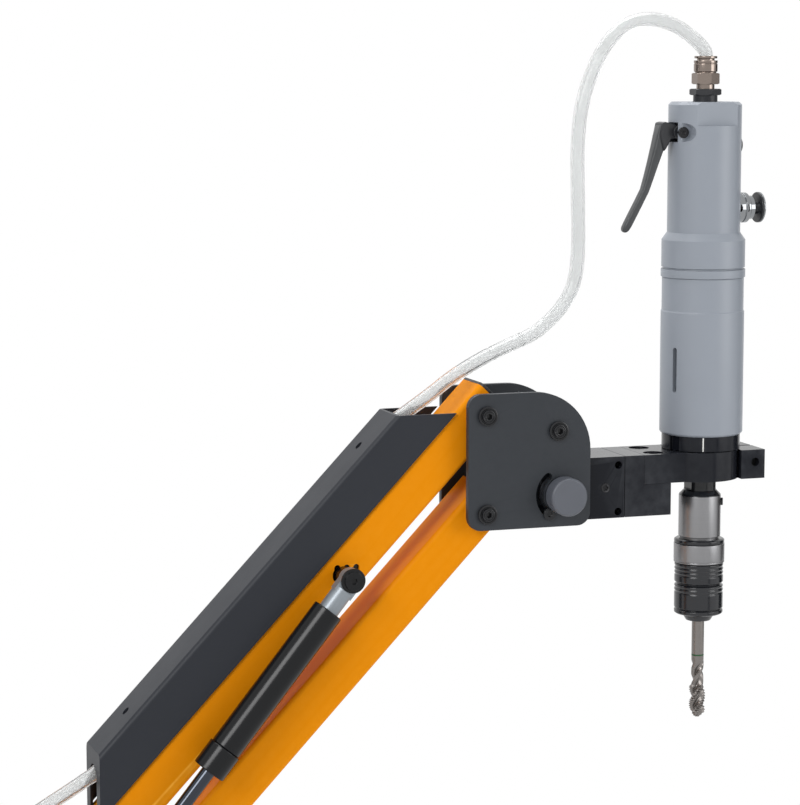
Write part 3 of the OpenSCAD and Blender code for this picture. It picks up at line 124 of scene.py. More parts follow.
@dataclass(frozen=True)
class Layout:
    """Where the arm's axes and levels stand, worked out as in the part's source."""

    link_len: float = 260.0
    shoulder_out: float = 67.0
    pivot_z: float = 362.2
    pivot_gap: float = 69.1
    arm_len: float = 400.0
    arm_tilt_deg: float = 46.35
    tool_out: float = 176.5
    clamp_drop: float = 34.1
    plate_out: float = 30.5
    spacer_x: float = 53.0
    spacer_z: float = -12.5
    motor_top: float = 249.6
    screw_low_z: float = 274.5
    screw_step: float = 34.0
    inlet_x: float = 195.0
    inlet_screw_y: float = 10.0
    inlet_screw_z: tuple[float, float] = (327.2, 341.2)

    @property
    def tilt(self) -> float:
        """The arm's angle above level, in radians."""
        return math.radians(self.arm_tilt_deg)

    @property
    def rear(self) -> Vector:
        """The upper arm's rear pivot, in millimetres."""
        return Vector((self.link_len + self.shoulder_out, 0.0, self.pivot_z))

    @property
    def head(self) -> Vector:
        """The upper arm's front pivot, in millimetres."""
        reach = Vector((math.cos(self.tilt), 0.0, math.sin(self.tilt)))
        return self.rear + self.arm_len * reach

    @property
    def tool(self) -> Vector:
        """Where the tapping axis meets the clamp's top, in millimetres."""
        return self.head + Vector((self.tool_out, 0.0, -self.clamp_drop))


LAYOUT = Layout()


# Shader groups and finishes


class Nodes:
    """A short way to add and join nodes in one tree."""

    def __init__(self, tree: bpy.types.NodeTree) -> None:
        """Keeps the tree."""
        self.tree = tree

    def add(self, kind: str, **values: object) -> bpy.types.Node:
        """Adds a node, and sets its attributes and its inputs in the order given.

        Args:
            kind: the node's type name.
            **values: attributes, or what feeds an input.

        Returns:
            The new node.
        """
        node = self.tree.nodes.new(kind)
        for key, value in values.items():
            if hasattr(node, key):
                setattr(node, key, value)
            else:
                self.feed(node, **{key: value})
        return node

    def feed(self, node: bpy.types.Node, **values: object) -> bpy.types.Node:
        """Gives a node's inputs their values or joins outputs to them.

        Args:
            node: the node.
            **values: a socket or a value, by the input's name with underscores for spaces.

        Returns:
            The same node.
        """
        for key, value in values.items():
            self._fill(node.inputs[key.replace("_", " ")], value)
        return node

    def join(self, start: bpy.types.NodeSocket, end: bpy.types.NodeSocket) -> None:
        """Links an output to an input."""
        self.tree.links.new(start, end)

    def math(self, operation: str, a: object, b: object = 0.0) -> bpy.types.NodeSocket:
        """Adds a Math node.

        Args:
            operation: the operation's name.
            a: a socket or a number.
            b: a socket or a number.

        Returns:
            The result's socket.
        """
        node = self.add("ShaderNodeMath", operation=operation)
        self._fill(node.inputs[0], a)
        self._fill(node.inputs[1], b)
        return node.outputs[0]

    def clamped(self, value: bpy.types.NodeSocket) -> bpy.types.NodeSocket:
        """Keeps a number between 0 and 1."""
        return self.math("MINIMUM", self.math("MAXIMUM", value, 0.0), 1.0)

    def scaled(self, color: bpy.types.NodeSocket,
               by: bpy.types.NodeSocket) -> bpy.types.NodeSocket:
        """Multiplies a colour by a number."""
        return self.add("ShaderNodeVectorMath", operation="SCALE", Vector=color,
                        Scale=by).outputs[0]

    def _fill(self, slot: bpy.types.NodeSocket, value: object) -> None:
        """Joins a socket to an input, or sets the input's value."""
        if isinstance(value, bpy.types.NodeSocket):
            self.join(value, slot)
        else:
            slot.default_value = value


def new_group(name: str, inputs: dict[str, str], outputs: dict[str, str],
              tree_kind: str = "ShaderNodeTree"
              ) -> tuple[Nodes, bpy.types.NodeOutputs, bpy.types.Node]:
    """Starts a node group.

    Args:
        name: the group's name.
        inputs: each input's socket type, such as Float, by name.
        outputs: each output's socket type, by name.
        tree_kind: the kind of node tree.

    Returns:
        The group's builder, what its inputs give, and its output node.
    """
    tree = bpy.data.node_groups.new(name, tree_kind)
    for way, sockets in (("INPUT", inputs), ("OUTPUT", outputs)):
        for label, kind in sockets.items():
            tree.interface.new_socket(name=label, in_out=way,
                                      socket_type=f"NodeSocket{kind}")
    build = Nodes(tree)
    return build, build.add("NodeGroupInput").outputs, build.add("NodeGroupOutput")


def new_material(name: str) -> tuple[bpy.types.Material, Nodes, bpy.types.Node]:
    """Starts a material.

    Args:
        name: the material's name.

    Returns:
        The material, its builder and its Principled node.
    """
    material = bpy.data.materials.new(name)
    material.use_nodes = True
    tree = material.node_tree
    return material, Nodes(tree), tree.nodes["Principled BSDF"]


class Effects:
    """The shader groups that several finishes share, each built once."""

    @classmethod
    def place(cls, nodes: Nodes, name: str, **values: object) -> bpy.types.NodeOutputs:
        """Places a shared group in a material.

        Args:
            nodes: the material's nodes.
            name: the group's name.
            **values: what feeds each of its inputs.

        Returns:
            The group's outputs.
        """
        node = nodes.add("ShaderNodeGroup")
        node.node_tree = cls._get(name)
        return nodes.feed(node, **values).outputs

    @classmethod
    @cache
    def _get(cls, name: str) -> bpy.types.NodeTree:
        """Returns a group by name, building it the first time."""
        return getattr(cls, f"_{name}")()

    @staticmethod
    def _relief() -> bpy.types.NodeTree:
        """Even relief, such as orange peel, pebbling or a cast skin."""
        build, given, end = new_group("relief", {"Vector": "Vector", "Size": "Float"},
                                      {"Height": "Float"})
        fine = build.add("ShaderNodeTexNoise", Detail=3.0, Roughness=0.55,
                         Vector=given["Vector"],
                         Scale=build.math("DIVIDE", 1.0 / MM, given["Size"]))
        build.feed(end, Height=fine.outputs[0])
        return build.tree

    @staticmethod
    def _handling() -> bpy.types.NodeTree:
        """Soft clouds that shift tone and shine, as on a surface that hands touch."""
        build, given, end = new_group(
            "handling", {"Vector": "Vector", "Color": "Color", "Roughness": "Float",
                         "Amount": "Float"}, {"Color": "Color", "Roughness": "Float"})
        cloud = build.add("ShaderNodeTexNoise", Scale=22.0, Detail=5.0, Roughness=0.6,
                          Vector=given["Vector"])
        shift = build.math("SUBTRACT", cloud.outputs[0], 0.5)
        shift = build.math("MULTIPLY", shift, given["Amount"])
        shine = build.math("SUBTRACT", given["Roughness"], shift)
        build.feed(end, Color=build.scaled(given["Color"], build.math("ADD", shift, 1.0)),
                   Roughness=build.math("MAXIMUM", shine, LEAST_ROUGHNESS))
        return build.tree

    @staticmethod
    def _turning() -> bpy.types.NodeTree:
        """Fine lines round an axis, left by a lathe or a brush."""
        build, given, end = new_group("turning", {"Vector": "Vector", "Axis scale": "Vector"},
                                      {"Factor": "Float"})
        squeeze = build.add("ShaderNodeVectorMath", operation="MULTIPLY",
                            Vector=given["Vector"])
        build.join(given["Axis scale"], squeeze.inputs[1])
        lines = build.add("ShaderNodeTexNoise", Scale=1.0, Detail=4.0, Roughness=0.7,
                          Vector=squeeze.outputs[0])
        build.feed(end, Factor=lines.outputs[0])
        return build.tree

    @staticmethod
    def _rubbed_edges() -> bpy.types.NodeTree:
        """A mask that is 1 on proud edges, broken up in patches: edge wear and painted highlight
        together.
        """
        build, given, end = new_group("rubbed_edges", {"Vector": "Vector", "Amount": "Float"},
                                      {"Mask": "Float"})
        shape = build.add("ShaderNodeNewGeometry")
        proud = build.math("SUBTRACT", shape.outputs["Pointiness"], PROUD_FROM)
        proud = build.math("MULTIPLY", proud, PROUD_GAIN)
        patch = build.add("ShaderNodeTexNoise", Scale=160.0, Detail=3.0,
                          Vector=given["Vector"])
        wear_and_highlight = build.math("MULTIPLY", proud, patch.outputs[0])
        wear_and_highlight = build.math("MULTIPLY", wear_and_highlight, given["Amount"])
        build.feed(end, Mask=build.clamped(wear_and_highlight))
        return build.tree


@dataclass(frozen=True)
class Finish:
    """A painted, moulded or metal surface: its colour, sheen, grain, and lighter edges that are
    part wear and part painted highlight.
    """

    name: str
    color: tuple[float, float, float]
    sheen: Sheen = Sheen.SATIN
    grain: Grain = Grain.SMOOTH
    grain_size: float = 1.0
    handling: float = 0.12
    metallic: float = 0.0
    specular: float = 0.5
    wear_and_highlight: float = 0.0
    wear_and_highlight_color: tuple[float, float, float] = (0.5, 0.5, 0.5)
    lines: tuple[float, float, float] | None = None
    lines_depth: float = 0.08

    @cache
    def build(self) -> bpy.types.Material:
        """Builds the material once.

        Returns:
            The material that carries this finish.
        """
        material, nodes, shader = new_material(self.name)
        place = nodes.add("ShaderNodeTexCoord").outputs["Object"]
        hands = Effects.place(nodes, "handling", Vector=place, Color=(*self.color, 1.0),
                              Roughness=self.sheen.value, Amount=self.handling)
        color, rough, height = hands["Color"], hands["Roughness"], None
        if self.lines is not None:
            color, rough, height = self._lined(nodes, place, color, rough)
        # Lightens proud edges toward an edge colour: part edge wear, part painted highlight.
        if self.wear_and_highlight > 0.0:
            edges = Effects.place(nodes, "rubbed_edges", Vector=place, Amount=self.wear_and_highlight)
            color = nodes.add("ShaderNodeMix", data_type="RGBA", Factor=edges["Mask"],
                              A=color, B=(*self.wear_and_highlight_color, 1.0)).outputs["Result"]
        if self.grain is not Grain.SMOOTH:
            height = Effects.place(nodes, "relief", Vector=place,
                                   Size=self.grain_size)["Height"]
        nodes.feed(shader, Metallic=self.metallic, Specular_IOR_Level=self.specular,
                   Base_Color=color, Roughness=rough)
        if height is not None:
            bump = nodes.add("ShaderNodeBump", Strength=1.0, Height=height,
                             Distance=max(self.grain.value, LEAST_RELIEF) * MM)
            nodes.feed(shader, Normal=bump.outputs["Normal"])
        return material

    def _lined(self, nodes: Nodes, place: bpy.types.NodeSocket,
               color: bpy.types.NodeSocket, rough: bpy.types.NodeSocket
               ) -> tuple[bpy.types.NodeSocket, bpy.types.NodeSocket, bpy.types.NodeSocket]:
        """Adds turning or brushing lines to tone, shine and relief.

        Args:
            nodes: the material's nodes.
            place: the coordinates' socket.
            color: the colour so far.
            rough: the roughness so far.

        Returns:
            The new colour, roughness and height sockets.
        """
        factor = Effects.place(nodes, "turning", Vector=place,
                               Axis_scale=self.lines)["Factor"]
        shift = nodes.math("MULTIPLY", nodes.math("SUBTRACT", factor, 0.5),
                           self.lines_depth * 2.0)
        return (nodes.scaled(color, nodes.math("ADD", shift, 1.0)),
                nodes.math("ADD", rough, shift), factor)


@dataclass(frozen=True)
class ClearFinish:
    """Clear polyurethane, a little milky."""

    name: str
    color: tuple[float, float, float] = (0.88, 0.89, 0.89)
    cloudy: float = 0.94
    roughness: float = 0.15
    haze: float = 0.04
    transmission: float = 0.8
    ior: float = 1.3

    @cache
    def build(self) -> bpy.types.Material:
        """Builds the material once and returns it."""
        material, nodes, shader = new_material(self.name)
        place = nodes.add("ShaderNodeTexCoord").outputs["Object"]
        haze = nodes.add("ShaderNodeTexNoise", Scale=9.0, Detail=1.0, Vector=place).outputs[0]
        blend = nodes.add("ShaderNodeMix", data_type="RGBA", Factor=haze,
                          A=(*self.color, 1.0),
                          B=(*(self.cloudy * c for c in self.color), 1.0))
        veil = nodes.math("MULTIPLY_ADD", haze, self.haze)
        veil.node.inputs[2].default_value = self.roughness
        nodes.feed(shader, Transmission_Weight=self.transmission, IOR=self.ior,
                   Base_Color=blend.outputs["Result"], Roughness=veil)
        return material


UPRIGHT_LINES = (30.0, 30.0, 9000.0)
# On the finishes below, the edge colour lightens proud edges, part wear and part painted
# highlight; the orange's bright yellow-orange edges are a painted highlight along the arms' folded
# edges.
ORANGE = Finish("orange_powder_coat", (0.74, 0.240, 0.001), Sheen.SATIN, Grain.ORANGE_PEEL,
                1.6, 0.05, specular=0.03, wear_and_highlight=0.9, wear_and_highlight_color=(1.0, 0.5, 0.06))
CHARCOAL = Finish("charcoal_powder_coat", (0.012, 0.0142, 0.020), Sheen.SOFT, Grain.PEBBLED,
                  0.5, 0.14, specular=0.32, wear_and_highlight=0.3, wear_and_highlight_color=(0.07, 0.075, 0.09))
PLATE_BLACK = Finish("plate_black", (0.022, 0.0255, 0.031), Sheen.SOFT, Grain.PEBBLED, 0.35,
                     0.18, specular=0.3, wear_and_highlight=0.4, wear_and_highlight_color=(0.13, 0.135, 0.15))
ANODISED = Finish("black_anodised", (0.0065, 0.0075, 0.011), Sheen.GLOSS, Grain.TURNED, 0.3,
                  0.06, specular=0.18, wear_and_highlight=0.5, wear_and_highlight_color=(0.2, 0.21, 0.23))
SPRING_BLACK = Finish("spring_black_lacquer", (0.0035, 0.004, 0.005), Sheen.GLOSS,
                      Grain.ORANGE_PEEL, 1.0, 0.06, specular=0.27)
BLACKENED = Finish("blackened_steel", (0.007, 0.0075, 0.009), Sheen.GLOSS, specular=0.34,
                   handling=0.15, wear_and_highlight=0.6, wear_and_highlight_color=(0.16, 0.16, 0.17))
SLEEVE_BLACK = Finish("sleeve_black", (0.010, 0.011, 0.014), Sheen.GLOSS, handling=0.1,
                      wear_and_highlight=0.3, wear_and_highlight_color=(0.12, 0.13, 0.14),
                      lines=UPRIGHT_LINES, lines_depth=0.05)
TURNED_STEEL = Finish("turned_steel", (0.25, 0.25, 0.257), Sheen.SATIN, handling=0.12,
                      metallic=1.0, lines=UPRIGHT_LINES, lines_depth=0.12)
BRIGHT_STEEL = Finish("bright_steel", (0.52, 0.52, 0.53), Sheen.GLOSS, handling=0.1,
                      metallic=1.0)
TAP_STEEL = Finish("ground_tap_steel", (0.21, 0.195, 0.185), Sheen.SATIN, handling=0.25,
                   metallic=1.0, lines=UPRIGHT_LINES, lines_depth=0.12)
CHROME = Finish("bright_chrome", (0.26, 0.27, 0.28), Sheen.MIRROR, handling=0.05,
                metallic=1.0)
DARK_CHROME = Finish("hard_chrome", (0.05, 0.056, 0.068), Sheen.MIRROR, handling=0.06,
                     metallic=1.0)
MOTOR_GREY = Finish("motor_lacquer", (0.265, 0.29, 0.33), Sheen.SATIN, Grain.ORANGE_PEEL,
                    0.5, 0.08, specular=0.42)
CAST_GREY = Finish("cast_aluminium", (0.24, 0.265, 0.29), Sheen.SATIN, Grain.CAST, 0.9, 0.15,
                   metallic=0.5)
NICKEL = Finish("nickel_plate", (0.235, 0.195, 0.17), Sheen.GLOSS, handling=0.12, metallic=1.0,
                lines=UPRIGHT_LINES, lines_depth=0.08)
BRONZE = Finish("bearing_bronze", (0.55, 0.36, 0.16), Sheen.SATIN, handling=0.15,
                metallic=1.0)
MOULDED = Finish("moulded_black", (0.013, 0.014, 0.017), Sheen.SATIN, Grain.PEBBLED, 0.4,
                 0.12, specular=0.4, wear_and_highlight=0.25, wear_and_highlight_color=(0.07, 0.075, 0.08))
LEVER_GREY = Finish("lever_grey", (0.040, 0.043, 0.046), Sheen.SATIN, Grain.PEBBLED, 0.5, 0.12,
                    specular=0.45, wear_and_highlight=0.35, wear_and_highlight_color=(0.16, 0.165, 0.17))
KNOB_GREY = Finish("knob_grey", (0.085, 0.092, 0.11), Sheen.SOFT, Grain.PEBBLED, 0.45, 0.25)
GREEN_INK = Finish("green_ring", (0.004, 0.06, 0.012), Sheen.SATIN, handling=0.1)
WHITE_INK = Finish("white_line", (0.75, 0.75, 0.73), Sheen.SATIN, handling=0.1)
HOSE = ClearFinish("clear_polyurethane")


# Mesh helpers


def link(name: str, mesh: bpy.types.Mesh) -> bpy.types.Object:
    """Puts a mesh in the scene as an object at the origin."""
    piece = bpy.data.objects.new(name, mesh)
    bpy.context.scene.collection.objects.link(piece)
    return piece


def shaded(mesh: bpy.types.Mesh, angle_deg: float = SHARP_DEG) -> bpy.types.Mesh:
    """Shades a mesh smooth, with sharp edges past an angle."""
    mesh.shade_smooth()
    mesh.set_sharp_from_angle(angle=math.radians(angle_deg))
    return mesh


def made(name: str, bm: bmesh.types.BMesh, finish: Finish) -> bpy.types.Object:
    """Turns a bmesh into an object with a finish, and frees the bmesh."""
    mesh = bpy.data.meshes.new(name)
    bm.to_mesh(mesh)
    bm.free()
    mesh.materials.append(finish.build())
    return link(name, mesh)


def applied(piece: bpy.types.Object, angle_deg: float | None = SHARP_DEG) -> bpy.types.Object:
    """Turns an object's live modifiers into its plain mesh.

    Args:
        piece: the object, which is replaced.
        angle_deg: edges past this angle stay sharp, or None to keep the shading.

    Returns:
        A new object under the same name.
    """
    name = piece.name
    graph = bpy.context.evaluated_depsgraph_get()
    mesh = bpy.data.meshes.new_from_object(piece.evaluated_get(graph),
                                           preserve_all_data_layers=True, depsgraph=graph)
    old = piece.data
    bpy.data.objects.remove(piece)
    if old.users == 0:
        bpy.data.meshes.remove(old)
    return link(name, mesh if angle_deg is None else shaded(mesh, angle_deg))


def edged(piece: bpy.types.Object, width: float, segments: int = 2) -> bpy.types.Object:
    """Breaks a piece's edges and keeps its flat faces flat in the light.

    Args:
        piece: the piece, which is replaced.
        width: the broken edge's width.
        segments: how many faces each broken edge gets.

    Returns:
        The piece with its edges broken.
    """
    edge = piece.modifiers.new("edge", "BEVEL")
    edge.limit_method = "ANGLE"
    edge.angle_limit = math.radians(BEVEL_DEG)
    edge.width = width * MM
    edge.segments = segments
    edge.miter_outer = "MITER_ARC"
    piece.data.shade_smooth()
    flat = piece.modifiers.new("flat", "WEIGHTED_NORMAL")
    flat.keep_sharp = True
    flat.weight = FLAT_WEIGHT
    return applied(piece, None)


def softened(node: str, finish: Finish, width: float) -> bpy.types.Object:
    """Copies a solid with its edges broken, as a real machined or moulded part's are.

    Args:
        node: the solid's node.
        finish: what it is painted or made of.
        width: the broken edge's width.

    Returns:
        The dressed piece, which replaces the node and rides on its body.
    """
    source = frame["nodes"][node]
    bm = bmesh.new()
    bm.from_mesh(source.data)
    bmesh.ops.remove_doubles(bm, verts=bm.verts, dist=WELD_M)
    bmesh.ops.dissolve_limit(bm, angle_limit=math.radians(FLAT_DEG), verts=bm.verts,
                             edges=bm.edges)
    piece = edged(made(f"{node}_dressed", bm, finish), width)
    return placed(piece, source["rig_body"], node)


def placed(piece: bpy.types.Object, body: str, *nodes: str) -> bpy.types.Object:
    """Lets a piece ride on a body and stand for the nodes it replaces.

    Args:
        piece: the piece.
        body: the body's name.
        *nodes: the nodes that it replaces.

    Returns:
        The same piece.
    """
    if nodes:
        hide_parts(*nodes)
    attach(piece, body)
    LOG.info("%s rides on %s, %d faces", piece.name, body, len(piece.data.polygons))
    return piece


def smooth_route(route: Sequence[Point], steps: int = 4) -> list[Vector]:
    """Runs a smooth curve through a route's points.

    Args:
        route: the points, in millimetres.
        steps: how many points each stretch gets.

    Returns:
        The curve's points, in metres.
    """
    points = [Vector(p) * MM for p in route]
    ends = [2 * points[0] - points[1], *points, 2 * points[-1] - points[-2]]
    curve = []
    for a, b, c, d in zip(ends, ends[1:], ends[2:], ends[3:]):
        for k in range(steps):
            t = k / steps
            curve.append(0.5 * (2 * b + (c - a) * t + (2 * a - 5 * b + 4 * c - d) * t * t
                                + (3 * b - a - 3 * c + d) * t ** 3))
    return [*curve, points[-1]]


# Geometry trees


class GeometryTree:
    """A geometry node tree with named inputs that turns a base mesh into a plain one."""

    def __init__(self, name: str, inputs: dict[str, str]) -> None:
        """Starts the tree.

        Args:
            name: the tree's name.
            inputs: each input's socket type, by name.
        """
        self.nodes, self.given, self.end = new_group(
            name, {"Geometry": "Geometry", **inputs}, {"Geometry": "Geometry"},
            "GeometryNodeTree")

    def close(self, geometry: bpy.types.NodeSocket) -> None:
        """Ends the tree in Realize Instances and Set Material.

        Args:
            geometry: what the tree has made.
        """
        real = self.nodes.add("GeometryNodeRealizeInstances", Geometry=geometry)
        paint = self.nodes.add("GeometryNodeSetMaterial", Geometry=real.outputs[0],
                               Material=self.given["Finish"])
        self.nodes.feed(self.end, Geometry=paint.outputs[0])

    def run(self, base: bpy.types.Object, **values: object) -> bpy.types.Object:
        """Runs the tree on an object and keeps the result as a plain mesh.

        Args:
            base: the object that carries the points or the path.
            **values: the inputs, by name with underscores for spaces.

        Returns:
            The finished piece.
        """
        modifier = base.modifiers.new("shape", "NODES")
        modifier.node_group = self.nodes.tree
        for item in self.nodes.tree.interface.items_tree:
            key = item.name.replace(" ", "_")
            if item.in_out == "INPUT" and key in values:
                modifier[item.identifier] = values[key]
        return applied(base)


class ScrewField(GeometryTree):
    """Sets one modelled fastener at many seats, turned to face along each seat's aim."""

    def __init__(self) -> None:
        """Builds the tree."""
        super().__init__("screw_field", {"Fastener": "Object", "Finish": "Material"})
        nodes, given = self.nodes, self.given
        proto = nodes.add("GeometryNodeObjectInfo", Object=given["Fastener"])
        aim = nodes.add("GeometryNodeInputNamedAttribute", data_type="FLOAT_VECTOR",
                        Name="aim")
        turn = nodes.add("FunctionNodeAlignRotationToVector", axis="Z", Vector=aim.outputs[0])
        seats = nodes.add("GeometryNodeInstanceOnPoints", Points=given["Geometry"],
                          Instance=proto.outputs["Geometry"],
                          Rotation=turn.outputs["Rotation"])
        self.close(seats.outputs[0])

    def set(self, name: str, fastener: bpy.types.Object, seats: Sequence[tuple[Vector, Point]],
            finish: Finish) -> bpy.types.Object:
        """Places the fastener at every seat.

        Args:
            name: the new piece's name.
            fastener: the modelled fastener, standing on the origin along +Z.
            seats: each seat's place in millimetres, and the way the head faces.
            finish: what the fasteners are made of.

        Returns:
            One mesh with all of them.
        """
        mesh = bpy.data.meshes.new(name)
        mesh.from_pydata([place * MM for place, _ in seats], [], [])
        aims = mesh.attributes.new("aim", "FLOAT_VECTOR", "POINT")
        for item, (_, way) in zip(aims.data, seats):
            item.vector = way
        return self.run(link(name, mesh), Fastener=fastener, Finish=finish.build())


class HoseSweep(GeometryTree):
    """Sweeps a tube with a wall and a bore along a path."""

    def __init__(self) -> None:
        """Builds the tree."""
        super().__init__("hose_sweep", {"Outer radius": "Float", "Bore radius": "Float",
                                        "Sides": "Int", "Finish": "Material"})
        nodes, given = self.nodes, self.given
        path = nodes.add("GeometryNodeMeshToCurve", Mesh=given["Geometry"])
        both = nodes.add("GeometryNodeJoinGeometry")
        for label in ("Outer radius", "Bore radius"):
            section = nodes.add("GeometryNodeCurvePrimitiveCircle", Radius=given[label],
                                Resolution=given["Sides"])
            skin = nodes.add("GeometryNodeCurveToMesh", Curve=path.outputs[0],
                             Profile_Curve=section.outputs["Curve"])
            if label == "Bore radius":
                skin = nodes.add("GeometryNodeFlipFaces", Mesh=skin.outputs[0])
            nodes.join(skin.outputs[0], both.inputs[0])
        self.close(both.outputs[0])

    def sweep(self, name: str, path: Sequence[Vector], outer: float, bore: float,
              finish: ClearFinish) -> bpy.types.Object:
        """Makes one hose.

        Args:
            name: the piece's name.
            path: its centre line, in metres.
            outer: its outer diameter.
            bore: its inner diameter.
            finish: what it is made of.

        Returns:
            The hose, closed by a ring at each end.
        """
        mesh = bpy.data.meshes.new(name)
        mesh.from_pydata(list(path), [(i, i + 1) for i in range(len(path) - 1)], [])
        hose = self.run(link(name, mesh), Outer_radius=outer / 2 * MM,
                        Bore_radius=bore / 2 * MM, Sides=HOSE_SIDES,
                        Finish=finish.build())
        bm = bmesh.new()
        bm.from_mesh(hose.data)
        for end in (path[0], path[-1]):
            rims = [e for e in bm.edges if e.is_boundary
                    and (e.verts[0].co - end).length < outer * MM]
            bmesh.ops.bridge_loops(bm, edges=rims)
        bmesh.ops.recalc_face_normals(bm, faces=bm.faces)
        bm.to_mesh(hose.data)
        bm.free()
        shaded(hose.data, SOFT_DEG)
        return hose


# Turned pieces


def rounded(profile: Outline, radius: float, steps: int = 3) -> list[tuple[float, float]]:
    """Rounds the corners of an outline.

    Args:
        profile: radius and height of each corner.
        radius: the largest rounding.
        steps: how many points each corner gets.

    Returns:
        The rounded outline.
    """
    points = [Vector(p) for p in profile]
    out: list[tuple[float, float]] = [tuple(points[0])]
    for before, corner, after in zip(points, points[1:], points[2:]):
        back, ahead = before - corner, after - corner
        reach = min(radius, back.length * CORNER_SHARE, ahead.length * CORNER_SHARE)
        start = corner + back.normalized() * reach
        stop = corner + ahead.normalized() * reach
        for k in range(steps + 1):
            t = k / steps
            spot = (1 - t) ** 2 * start + 2 * t * (1 - t) * corner + t * t * stop
            out.append((spot.x, spot.y))
    return [*out, tuple(points[-1])]


def stepped(radius: float, height: float, offsets: Outline) -> list[tuple[float, float]]:
    """Gives an outline's points by their offsets from one of its corners."""
    return [(radius + across, height + up) for across, up in offsets]


def ramp(value: float, start: float, width: float) -> float:
    """Rises from 0 to 1 over a width, and is level outside it."""
    return min(max((value - start) / width, 0.0), 1.0)


def circle(radius: float, height: float, steps: int, rule: Rule | None = None) -> list[Vector]:
    """Gives the points of one level ring round +Z.

    Args:
        radius: the ring's radius.
        height: the ring's height.
        steps: how many points it has.
        rule: changes a radius by its angle and height.

    Returns:
        The points, in millimetres.
    """
    ring = []
    for k in range(steps):
        a = 2 * math.pi * k / steps
        r = rule(radius, a, height) if rule else radius
        ring.append(Vector((r * math.cos(a), r * math.sin(a), height)))
    return ring


def lofted(name: str, rings: Sequence[Sequence[Vector]], finish: Finish,
           angle_deg: float = SHARP_DEG) -> bpy.types.Object:
    """Joins rings of points into one skin, closed over its first and its last ring.

    Args:
        name: the piece's name.
        rings: the points of each ring, in millimetres. A ring of one point is a tip.
        finish: what it is painted or made of.
        angle_deg: edges past this angle stay sharp.

    Returns:
        The piece.
    """
    bm = bmesh.new()
    loops = [[bm.verts.new(point * MM) for point in ring] for ring in rings]
    for loop in (loops[0], loops[-1]):
        if len(loop) > 1:
            bm.faces.new(loop)
    for low, high in zip(loops, loops[1:]):
        for k in range(max(len(low), len(high))):
            corners = (low[k % len(low)], low[(k + 1) % len(low)],
                       high[(k + 1) % len(high)], high[k % len(high)])
            unique = list(dict.fromkeys(corners))
            if len(unique) > 2:
                bm.faces.new(unique)
    bmesh.ops.recalc_face_normals(bm, faces=bm.faces)
    piece = made(name, bm, finish)
    shaded(piece.data, angle_deg)
    return piece


def turned(name: str, profile: Outline, place: Vector, finish: Finish, axis: Vector = UP,
           steps: int = 96, rule: Rule | None = None) -> bpy.types.Object:
    """Spins an outline round an axis.

    Args:
        name: the piece's name.
        profile: radius and height of each point, from one end to the other.
        place: where the axis starts, in millimetres.
        finish: what it is made of.
        axis: the way the heights run.
        steps: how many faces go round.
        rule: changes a radius by its angle and height.

    Returns:
        The closed piece.
    """
    turn = UP.rotation_difference(axis).to_matrix()
    rings = [circle(radius, height, steps if radius > 0.0 else 1, rule)
             for radius, height in profile]
    return lofted(name, [[place + turn @ point for point in ring] for ring in rings], finish)


def hexagonal(flats: float, low: float, high: float) -> Rule:
    """Gives a radius rule that cuts a hexagon between two heights.

    Args:
        flats: the distance across the hexagon's flats.
        low: where the hexagon starts.
        high: where the hexagon ends.

    Returns:
        The rule, for a turned piece.
    """
    def radius(r: float, angle: float, height: float) -> float:
        """Cuts a radius back to the hexagon's flat."""
        if not low + HEXAGON_MARGIN <= height <= high - HEXAGON_MARGIN:
            return r
        side = (angle + math.pi / 6) % (math.pi / 3) - math.pi / 6
        return min(r, flats / 2 / math.cos(side))
    return radius


def heading(turn_deg: float) -> tuple[Vector, Vector]:
    """Gives the level way at an angle from +X, and the way square to it."""
    a = math.radians(turn_deg)
    out = Vector((math.cos(a), math.sin(a), 0.0))
    return out, Vector((-out.y, out.x, 0.0))


@dataclass
class PlateScrew:
    """A flanged button screw with a hexagon socket and a fine ring round it."""

    flange_d: float = 14.0
    flange_h: float = 2.2
    button_d: float = 9.0
    button_h: float = 1.6
    socket: float = 4.0
    shank_d: float = 6.0
    shank_l: float = 13.9
    edge: float = 0.45
    steps: int = 36
    groove: Outline = ((1.0, 0.0), (0.8, -0.35), (0.15, -0.35), (0.0, 0.1))
    line_deep: float = 0.25
    line_shares: tuple[float, float, float, float] = (0.82, 0.8, 0.72, 0.7)
    socket_rim: float = 0.25
    socket_lip: float = 0.1
    socket_floor: float = 0.88

    @property
    def top(self) -> float:
        """The head's height over its seat."""
        return self.flange_h + self.button_h

    def outline(self) -> Outline:
        """The screw's outline, from the end of its shank to the rim of the socket.

        Returns:
            Radius and height of each point.
        """
        f, b = self.flange_d / 2, self.button_d / 2
        line = [(b * share, self.top - deep) for share, deep in
                zip(self.line_shares, (0.0, self.line_deep, self.line_deep, 0.0))]
        return rounded([(self.shank_d / 2, -self.shank_l), (self.shank_d / 2, 0.0), (f, 0.0),
                        (f, self.flange_h), *stepped(b, self.flange_h, self.groove),
                        (b, self.top), *line, (self.socket / 2 + self.socket_rim, self.top)],
                       self.edge, steps=2)

    def model(self) -> bpy.types.Object:
        """Models one screw on the origin, facing +Z, for a screw field to copy."""
        hexagon = hexagonal(self.socket, 0.0, self.top)
        rings = [circle(radius, height, self.steps) for radius, height in self.outline()]
        rings += [circle(self.socket, height, self.steps, hexagon)
                  for height in (self.top - self.socket_lip, self.socket_floor)]
        return lofted("fastener", rings, BLACKENED)


# Sub-assemblies


